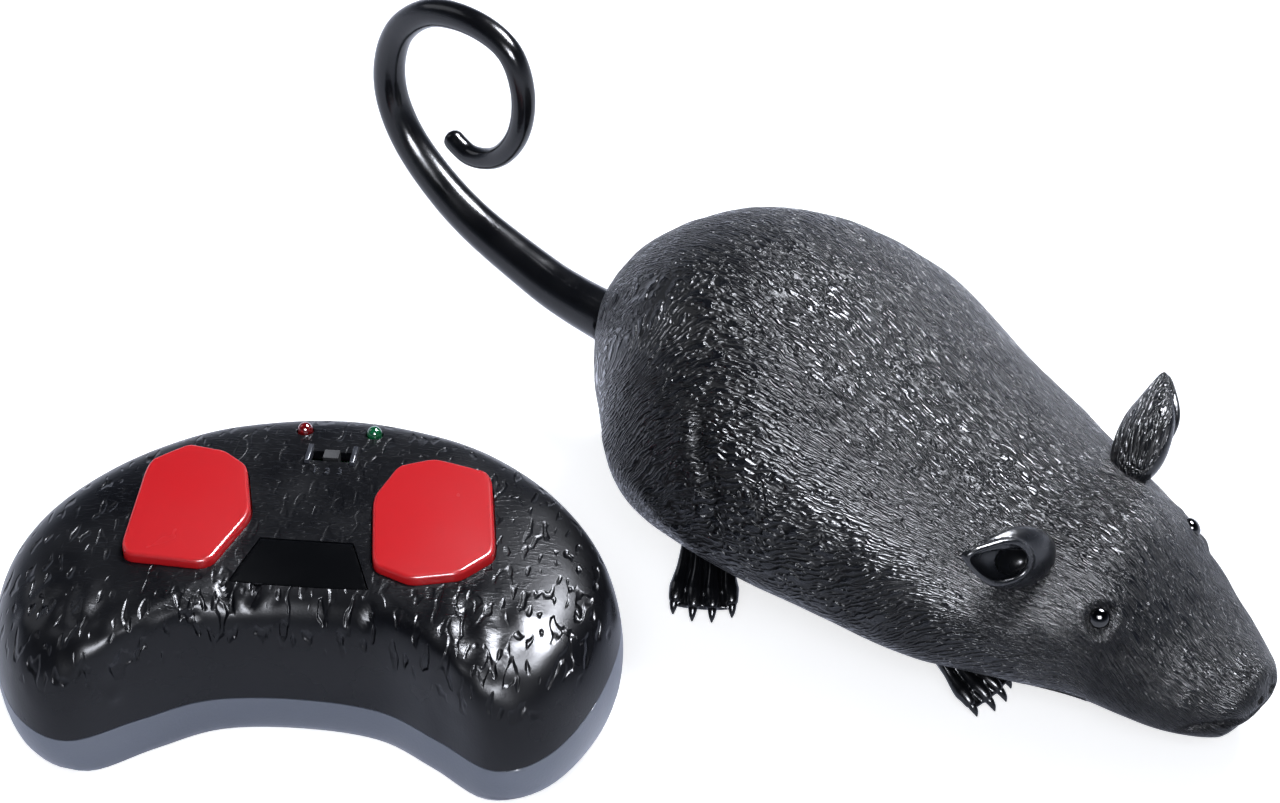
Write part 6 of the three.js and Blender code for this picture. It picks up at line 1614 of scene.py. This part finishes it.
@dataclass
class HandsetCase:
    """The handset's two shells, with creases and crumpled lobes moulded into the top one."""

    form: HandsetForm = field(default_factory=HandsetForm)
    around: int = 340
    rows: int = 130
    gap: float = 0.3
    seam: float = 11.0
    seam_rise: float = 9.0
    flange_base: float = 32.0
    panel_depth: float = 1.9
    panel_gap: float = 0.3
    led_radius: float = 1.75
    led_spots: Outline = field(default_factory=lambda: [(-7.888, 28.424), (7.888, 28.424)])
    slot: Spot = (11.0, 3.4, 18.972)
    emitter: Spot = (2.5, -33.524, 29.2)
    screws: Spot = (49.98, -19.99, 2.6)
    # Heights that clear the crown from above, and that cutting tools for the crown start from
    over: float = 44.0
    under: float = 20.0
    corner: float = 0.18
    carved_from: tuple[float, float] = (13.0, 20.0)
    panel_edge: float = 0.25
    rib_share: float = 0.94
    left_key: Outline = field(default_factory=lambda: [
        (-0.582, 0.172), (-0.567, -0.278), (-0.278, -0.299), (-0.194, -0.052), (-0.257, 0.179),
        (-0.343, 0.246), (-0.47, 0.269)])
    right_key: Outline = field(default_factory=lambda: [
        (0.537, 0.218), (0.343, 0.272), (0.23, 0.224), (0.176, 0.06), (0.23, -0.254), (0.358, -0.31),
        (0.507, -0.272), (0.603, -0.164)])
    panel: Outline = field(default_factory=lambda: [
        (-0.149, -0.137), (-0.209, -0.336), (0.231, -0.336), (0.149, -0.137)])
    # The left crease with its ridge and the one outside it, the crossed folds in the middle and the short
    # ones beside them, and the right crease with its ridge
    creases: tuple[Line, ...] = (
        Line(((-38, -24, 34), (-39, -36, 30), (-38, -43, 20)), 1.1, -1.3),
        Line(((-36, -24, 34), (-36.8, -36, 30), (-35.8, -43, 20)), 1.1, 0.7),
        Line(((-54, -22, 33), (-54.5, -36, 28), (-54, -43, 18)), 1.0, -0.8),
        Line(((-8, -23, 36), (-9, -31, 33), (-10, -34, 26)), 0.8, -1.2),
        Line(((-2.5, -25, 36), (-7.0, -31, 33), (-9.5, -34, 27)), 0.8, -1.2),
        Line(((-15, -24, 36), (-11.5, -31, 33), (-10.5, -34, 27)), 0.8, -1.1),
        Line(((-22, -27, 35), (-19, -33, 32)), 0.8, -0.8),
        Line(((6, -26, 35.5), (8, -33, 31)), 0.8, -0.8),
        Line(((17, -27, 35), (15, -34, 30)), 0.8, -0.8),
        Line(((38, -20, 34.5), (45, -34, 31), (47, -44, 20)), 1.1, -1.3),
        Line(((40.2, -20, 34.5), (47.2, -34, 31), (49.2, -44, 20)), 1.1, 0.8),
    )
    lobes: tuple[Spot, ...] = ((-46, -34, 29), (41, -33, 31))
    lobe_reach: float = 12.0
    lobe_depth: float = 1.1
    lobe_grain: float = 3.4
    lobe_stretch: float = 0.6
    seam_handles: tuple[float, float] = (0.6, 0.75)
    seam_steps: int = 24

    def scaled(self, shares: Outline) -> Outline:
        """Shares of the half width turned to millimetres."""
        return [(x * self.form.half, y * self.form.half) for x, y in shares]

    def crumple(self, spot: Vector) -> float:
        """Height of the crumpled lobes at a place of the case."""
        height = 0.0
        for lobe in self.lobes:
            away = (spot - Vector(lobe)).length / self.lobe_reach
            if away < 1.6:
                stretched = Vector((spot.x, spot.y * self.lobe_stretch, spot.z * self.lobe_stretch))
                fold = noise.noise(stretched / self.lobe_grain)
                height += self.lobe_depth * fold * math.exp(-away ** 3)
        return height

    def mould(self, top: bool) -> BMesh:
        """The closed outer form, with its creases and crumpled lobes where the top is wanted.

        Args:
            top: Whether the form is the top shell's.

        Returns:
            The closed form.
        """
        shape = bmesh.new()
        around, rows = (self.around, self.rows) if top else (self.around // 2, self.rows // 2)
        bmesh.ops.create_uvsphere(shape, u_segments=around, v_segments=rows, radius=1)
        ring, profile = self.form.outline(around), self.form.profile(rows)
        for vert in shape.verts:
            row, column = lattice_cell(vert, around, rows)
            spot = ring[column] * profile[row].x
            vert.co = Vector((spot.x, spot.y, profile[row].y * self.form.half))
        face_out(shape)
        if not top:
            return shape
        moves = {vert: sum(crease.at(vert.co) for crease in self.creases) + self.crumple(vert.co)
                 for vert in shape.verts if vert.co.z > self.carved_from[0]}
        for vert, height in moves.items():
            vert.co += vert.normal * height * smoothstep(*self.carved_from, vert.co.z)
        return shape

    def seam_tool(self, shift: float) -> BMesh:
        """All that lies below the seam, which climbs towards both ends."""
        reach = self.form.half + 3
        low, high = self.seam + shift, self.seam + self.seam_rise + shift
        near, far = (reach * share for share in self.seam_handles)
        right = [self.bend((0, low), (near, low), (far, low), (reach, high), k / self.seam_steps)
                 for k in range(self.seam_steps + 1)]
        left = [(-x, z) for x, z in reversed(right[1:])]
        shape = prism(left + right + [(reach, -3), (-reach, -3)], -self.form.half, self.form.half)
        upright = Matrix.Rotation(math.pi / 2, 3, "X")
        bmesh.ops.rotate(shape, cent=(0, 0, 0), matrix=upright, verts=shape.verts)
        return face_out(shape)

    @staticmethod
    def bend(a: tuple, b: tuple, c: tuple, d: tuple, way: float) -> tuple[float, float]:
        """A point of the curve with two ends and two handles."""
        rest = 1 - way
        weights = (rest ** 3, 3 * rest * rest * way, 3 * rest * way * way, way ** 3)
        return tuple(sum(w * p[i] for w, p in zip(weights, (a, b, c, d))) for i in (0, 1))

    def shrunk(self, sink: float, share: float) -> BMesh:
        """The plain form drawn in to a share of its size and lowered."""
        shape = self.mould(False)
        bmesh.ops.scale(shape, vec=(share, share, share), verts=shape.verts)
        bmesh.ops.translate(shape, vec=(0, 0, self.form.height * (1 - share) / 2 - sink), verts=shape.verts)
        return shape

    def openings(self) -> BMesh:
        """What is cut through the crown for keys, lamps, switch and emitter."""
        length, width, back = self.slot
        radius, aside, high = self.emitter
        return gathered(
            *[prism(rounded(grown(self.scaled(key), self.gap), self.corner), self.flange_base - 3, self.over)
              for key in (self.left_key, self.right_key)],
            *[rod(self.led_radius + self.gap, self.under, self.over, 32, Vector((x, y, 0)))
              for x, y in self.led_spots],
            box((-length / 2, back - width / 2, 25), (length / 2, back + width / 2, self.over)),
            rod(radius + self.gap, 0, 45, 32, Vector((aside, 20, high)), BACKWARD))

    def build(self, place: Matrix) -> None:
        """Moulds both shells, cuts their windows and lays in the panel.

        Args:
            place: Where the handset's own millimetres lie.
        """
        turn = place.to_euler().z
        origin = tuple(place.translation)
        crown = replace(CASE_TOP, turn=turn, origin=origin)
        top = lay_out(self.mould(True), "handset_crown", place)
        carve(top, lay_out(self.seam_tool(self.gap / 2), "below_seam", place))
        uncapped(top, -1)
        thicken(top, self.form.wall)
        carve(top, lay_out(self.openings(), "case_openings", place))
        floor = self.form.height - self.panel_depth
        carve(top, lay_out(prism(self.scaled(self.panel), floor, self.over), "panel_recess", place))
        finish_piece(top, "handset", crown, "black_shell", "handset_top_shell", crisp=32)
        corners = grown(self.scaled(self.panel), -self.panel_gap)
        plate = lay_out(prism(corners, floor, self.over), "handset_panel", place)
        carve(plate, lay_out(self.shrunk(0.15, 1.0), "plate_top", place), Carving.OUTSIDE)
        edge = plate.modifiers.new("edge", "BEVEL")
        edge.width = self.panel_edge * MM
        edge.segments = 2
        edge.limit_method = "ANGLE"
        edge.angle_limit = math.radians(40)
        settle(plate)
        finish_piece(plate, "handset", PANEL, "black_shell", crisp=30)
        self.build_base(place, replace(CASE_BASE_PAINTED_REFLECTION, turn=turn, origin=origin))

    def build_base(self, place: Matrix, finish: HideGrain) -> None:
        """Moulds the lower shell, opens it for the door and screws, and keeps the CAD's ribs inside.

        Args:
            place: Where the handset's own millimetres lie.
            finish: The lower shell's finish.
        """
        base = lay_out(self.mould(False), "handset_base", place)
        carve(base, lay_out(self.seam_tool(-self.gap / 2), "under_seam", place), Carving.OUTSIDE)
        uncapped(base, 1)
        thicken(base, self.form.wall)
        aside, back, radius = self.screws
        holes = gathered(*[rod(radius, -PAST, 6, 24, Vector((x, back, 0))) for x in (-aside, aside)])
        carve(base, lay_out(holes, "base_holes", place))
        carve(base, lay_out(swollen(cad_copy("handset_battery_door"), self.gap * MM), "base_door"))
        finish_piece(base, "handset", finish, "black_shell", "handset_bottom_shell", crisp=32)
        ribs = lay_out(cad_copy("handset_bottom_shell"), "handset_base_ribs")
        carve(ribs, lay_out(self.shrunk(0, self.rib_share), "ribs_inside", place), Carving.OUTSIDE)
        finish_piece(ribs, "handset", DOOR_PLASTIC, "black_shell", crisp=30)


@dataclass
class HandsetControls:
    """Keys, lamps, channel switch and the emitter of the handset."""

    case: HandsetCase = field(default_factory=HandsetCase)
    proud: float = 1.9
    edge: float = 0.9
    flange: float = 1.4
    flange_thickness: float = 1.2
    post_radius: float = 2.6
    post_base: float = 30.5
    post_aside: float = 26.52
    led_top: float = 38.0
    led_length: float = 6.0
    led_collar: tuple[float, float] = (0.4, 1.0)
    dome: tuple[float, float, float, float] = (26.7, 30.2, 4.6, 2.8)
    dome_wall: float = 0.9
    dome_kept: float = 0.55
    # Half width, half length, sink, height, edge and distance aside of the bars beside the switch
    bars: tuple[float, ...] = (0.55, 2.8, 1.2, 1.0, 0.3, 5.05)
    digit_size: float = 2.6
    digit_thickness: float = 0.3
    digit_spacing: float = 2.8
    digit_back: float = 13.6

    def key(self, shares: Outline, side: int) -> BMesh:
        """A key with a rounded top edge, its flange and its post."""
        case = self.case
        corners = case.scaled(shares)
        base, top = case.flange_base, case.form.height + self.proud
        flange_top = base + self.flange_thickness
        return gathered(
            eased(prism(rounded(corners, case.corner, 8), flange_top, top), top, self.edge, 6),
            prism(rounded(grown(corners, self.flange), case.corner, 8), base, flange_top),
            rod(self.post_radius, self.post_base, base + 0.6, 24, Vector((side * self.post_aside, 0, 0))))

    def bar(self, side: int) -> BMesh:
        """An upright bar at an end of the channel switch's slot, its top edges rounded."""
        half, long, sink, rise, edge, aside = self.bars
        middle_of, back, top = side * aside, self.case.slot[2], self.case.form.height + rise
        low = self.case.form.height - sink
        shape = box((middle_of - half, back - long, low), (middle_of + half, back + long, top))
        return eased(shape, top, edge, 3)

    def digit(self, text: str, spot: tuple[float, float], place: Matrix) -> Object:
        """A raised channel number.

        Args:
            text: The number.
            spot: Its place on the crown, in the handset's own millimetres.
            place: Where the handset's own millimetres lie.

        Returns:
            The number as a mesh.
        """
        letter = bpy.data.curves.new("channel_number", "FONT")
        letter.body = text
        letter.size = self.digit_size
        letter.align_x = letter.align_y = "CENTER"
        letter.extrude = self.digit_thickness
        shown = bpy.data.objects.new("channel_number", letter)
        bpy.context.scene.collection.objects.link(shown)
        bpy.context.view_layer.update()
        mesh = bpy.data.meshes.new_from_object(shown.evaluated_get(bpy.context.evaluated_depsgraph_get()))
        bpy.data.objects.remove(shown)
        height = self.case.form.surface(*spot)
        mesh.transform(place @ Matrix.Translation((*spot, height)))
        piece = bpy.data.objects.new(f"channel_number_{text}", mesh)
        bpy.context.scene.collection.objects.link(piece)
        return piece

    def lens(self, spot: tuple[float, float]) -> BMesh:
        """A lamp's domed lens on its collar."""
        radius = self.case.led_radius
        base, waist = self.led_top - self.led_length, self.led_top - radius
        rim, collar_top = radius + self.led_collar[0], base + self.led_collar[1]
        profile = [(0, base), (rim, base), (rim, collar_top), (radius, collar_top)]
        profile += [(radius * math.cos(a), waist + radius * math.sin(a)) for a in
                    (math.pi / 2 * k / 12 for k in range(12))]
        profile.append((0, self.led_top))
        return spun(profile, 36, centre=Vector((*spot, 0)))

    def build(self, place: Matrix) -> None:
        """Makes the controls.

        Args:
            place: Where the handset's own millimetres lie.
        """
        case = self.case
        for name, shares, side in (("left", case.left_key, -1), ("right", case.right_key, 1)):
            key = lay_out(self.key(shares, side), f"{name}_red_key", place)
            finish_piece(key, f"{name}_key", KEY_RED, "red_key", f"{name}_button", crisp=40)
            dome = lay_out(self.dome_shape(side), f"{name}_silicone_dome", place)
            finish_piece(dome, "handset", SILICONE, "silicone", f"{name}_button_dome", crisp=40)
            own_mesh(dome)
        for name, finish, spot in zip(("red", "green"), (RED_LENS, GREEN_LENS), case.led_spots):
            lamp = lay_out(self.lens(spot), f"{name}_lamp_lens", place)
            finish_piece(lamp, "handset", finish, f"{name}_lens", f"{name}_led", crisp=40)
        dress("infrared_emitter", DARK_LENS, 40)
        dress("channel_switch_knob", DOOR_PLASTIC)
        bars = lay_out(gathered(self.bar(-1), self.bar(1)), "channel_bars", place)
        finish_piece(bars, "handset", MARKING, "black_shell", crisp=40)
        for k, number in enumerate("123"):
            piece = self.digit(number, ((k - 1) * self.digit_spacing, self.digit_back), place)
            finish_piece(piece, "handset", MARKING, "black_shell")

    def dome_shape(self, side: int) -> BMesh:
        """The silicone dome under a key: a foot, a cone and a flat top, all of one wall."""
        base, top, wide, narrow = self.dome
        wall = self.dome_wall
        profile = [(wide - wall, base), (wide, base), (wide - 0.3, base + 0.8), (narrow + 0.5, top - 0.5),
                   (narrow, top), (0, top), (0, top - wall), (narrow - wall, top - wall),
                   (narrow - 0.4, top - wall - 0.5), (wide - wall - 0.3, base + 0.7)]
        return spun(profile + [profile[0]], 32, centre=Vector((side * self.post_aside, 0, 0)))


@dataclass(frozen=True)
class Lamp:
    """A soft rectangular lamp, placed from the point it lights; one for gloss shows in reflections alone."""

    name: str
    away: Spot
    size: tuple[float, float]
    power: float
    gloss_only: bool = False

    def hang(self, goal: Vector, colour: str) -> None:
        """Hangs the lamp and points it.

        Args:
            goal: What it points at, in metres.
            colour: Its sRGB colour.
        """
        light = bpy.data.lights.new(self.name, "AREA")
        light.shape = "RECTANGLE"
        light.size, light.size_y = self.size
        light.energy = self.power
        light.color = linear(colour)[:3]
        lamp = bpy.data.objects.new(self.name, light)
        lamp.visible_diffuse = not self.gloss_only
        bpy.context.scene.collection.objects.link(lamp)
        lamp.location = goal + Vector(self.away)
        lamp.rotation_euler = (goal - lamp.location).to_track_quat("-Z", "Y").to_euler()


@dataclass
class Studio:
    """Pale floor, soft lamps and the camera at the photograph's angle."""

    azimuth: float = 40.0
    elevation: float = 38.5
    distance: float = 556.0
    focal: float = 2600.0
    frame_width: int = 1280
    sensor: float = 36.0
    target: Spot = (-40.0, -49.0, 60.0)
    floor_size: float = 6.0
    floor_colours: tuple[str, str] = ("#e6e7e9", "#e9eaec")
    floor_glow: float = 0.72
    floor_reflected: str = "#dce4ff"
    room_colours: tuple[tuple[float, str], ...] = ((0.0, "#dfe7fa"), (0.3, "#6b7386"), (1.0, "#22252c"))
    ambient_colour: str = "#dfe3ea"
    ambient: float = 0.25
    white: str = "#ffffff"
    lamp_colour: str = "#f3f6ff"
    lamps: tuple[Lamp, ...] = (
        Lamp("overhead_softbox", (0.07, 0.55, 0.9), (0.42, 0.3), 8.5),
        Lamp("overhead_sheen", (0.09, 0.57, 0.9), (0.5, 0.34), 72.0, True),
        Lamp("front_softbox", (0.6, -0.72, 0.9), (0.8, 0.5), 6.0),
        Lamp("front_sheen", (0.75, -0.72, 0.82), (0.5, 0.4), 44.0, True),
        Lamp("side_softbox", (-1.1, -0.2, 0.75), (0.5, 0.7), 1.6),
    )

    def floor_material(self) -> Material:
        """Pale paper sweep, white to the camera and in reflections but for the object's own shadow."""
        material = bpy.data.materials.new("paper_sweep")
        material.use_nodes = True
        tree = material.node_tree
        tree.nodes.clear()
        place = add_node(tree, "ShaderNodeTexCoord").outputs["Object"]
        paper = add_node(tree, "ShaderNodeTexNoise", {"Vector": place, "Scale": 900.0, "Detail": 2.0})
        tone = add_node(tree, "ShaderNodeValToRGB", {"Fac": paper})
        set_stops(tone, list(zip((0.3, 0.7), self.floor_colours)))
        diffuse = add_node(tree, "ShaderNodeBsdfDiffuse", {"Color": tone})
        rays = add_node(tree, "ShaderNodeLightPath")
        cool = add_node(tree, "ShaderNodeMix", {
            "Factor": rays.outputs["Is Camera Ray"], 6: linear(self.floor_reflected),
            7: linear(self.white)}, data_type="RGBA")
        glow = add_node(tree, "ShaderNodeEmission", {"Color": cool.outputs[2], "Strength": self.floor_glow})
        seen = add_node(tree, "ShaderNodeMath", {
            0: rays.outputs["Is Camera Ray"], 1: rays.outputs["Is Glossy Ray"]}, operation="MAXIMUM")
        every = add_node(tree, "ShaderNodeMath", {
            0: seen, 1: rays.outputs["Is Transmission Ray"]}, operation="MAXIMUM")
        both = add_node(tree, "ShaderNodeAddShader", {0: diffuse, 1: glow})
        mix = add_node(tree, "ShaderNodeMixShader", {
            0: every, 1: diffuse, 2: both})
        add_node(tree, "ShaderNodeOutputMaterial", {"Surface": mix})
        return material

    def world(self) -> None:
        """A grey studio, white to the camera and paler towards the horizon in reflections."""
        world = bpy.data.worlds.new("studio")
        bpy.context.scene.world = world
        world.use_nodes = True
        tree = world.node_tree
        tree.nodes.clear()
        rays = add_node(tree, "ShaderNodeLightPath")
        direction = add_node(tree, "ShaderNodeTexCoord").outputs["Generated"]
        split = add_node(tree, "ShaderNodeSeparateXYZ", {"Vector": direction})
        height = add_node(tree, "ShaderNodeMapRange", {
            "Value": split.outputs["Z"], "From Min": 0.05, "From Max": 0.5}).outputs["Result"]
        room = add_node(tree, "ShaderNodeValToRGB", {"Fac": height})
        set_stops(room, list(self.room_colours))
        soft = add_node(tree, "ShaderNodeBackground", {
            "Color": linear(self.ambient_colour), "Strength": self.ambient})
        seen = add_node(tree, "ShaderNodeBackground", {"Color": room, "Strength": 1.0})
        white = add_node(tree, "ShaderNodeBackground", {"Color": linear(self.white), "Strength": 1.0})
        glossy = add_node(tree, "ShaderNodeMath", {
            0: rays.outputs["Is Glossy Ray"], 1: rays.outputs["Is Transmission Ray"]}, operation="MAXIMUM")
        first = add_node(tree, "ShaderNodeMixShader", {
            0: glossy, 1: soft, 2: seen})
        last = add_node(tree, "ShaderNodeMixShader", {
            0: rays.outputs["Is Camera Ray"], 1: first, 2: white})
        add_node(tree, "ShaderNodeOutputWorld", {"Surface": last})

    def build(self, place: Matrix) -> None:
        """Sets up floor, world, lamps and camera.

        Args:
            place: Where the rat's own millimetres lie.
        """
        shape = bmesh.new()
        bmesh.ops.create_grid(shape, x_segments=1, y_segments=1, size=self.floor_size / 2)
        floor = lay_out(shape, "floor")
        floor.data.materials.append(self.floor_material())
        self.world()
        goal = place @ Vector(self.target)
        for lamp in self.lamps:
            lamp.hang(goal, self.lamp_colour)
        turn, rise = math.radians(self.azimuth), math.radians(self.elevation)
        back = Vector((math.sin(turn) * math.cos(rise), -math.cos(turn) * math.cos(rise), math.sin(rise)))
        lens = bpy.data.cameras.new("camera")
        lens.sensor_width = self.sensor
        lens.sensor_fit = "HORIZONTAL"
        lens.lens = self.focal * self.sensor / self.frame_width
        camera = bpy.data.objects.new("camera", lens)
        bpy.context.scene.collection.objects.link(camera)
        camera.location = goal + back * self.distance * MM
        camera.rotation_euler = (-back).to_track_quat("-Z", "Y").to_euler()
        bpy.context.scene.camera = camera
        bpy.context.scene.view_settings.view_transform = "Standard"


def main() -> None:
    """Builds each assembly in order."""
    logging.basicConfig(level=logging.INFO, format="%(name)s: %(message)s")
    rat, handset = rat_place(), handset_place()
    Studio().build(rat)
    RatBody().build(rat)
    RatEars().build(rat)
    RatEyes().build(rat)
    RatTail().build(rat)
    RatFoot("rear_foot", 22.5, 13.4, -38.3, -26.3, 55.0).build(rat)
    RatFoot("front_foot", 20.0, 12.0, 21.5, -22.0, 4.0).build(rat)
    RollingGear().build(rat)
    HandsetCase().build(handset)
    HandsetControls().build(handset)
    InnerWorks().build()


if __name__ == "__main__":
    main()
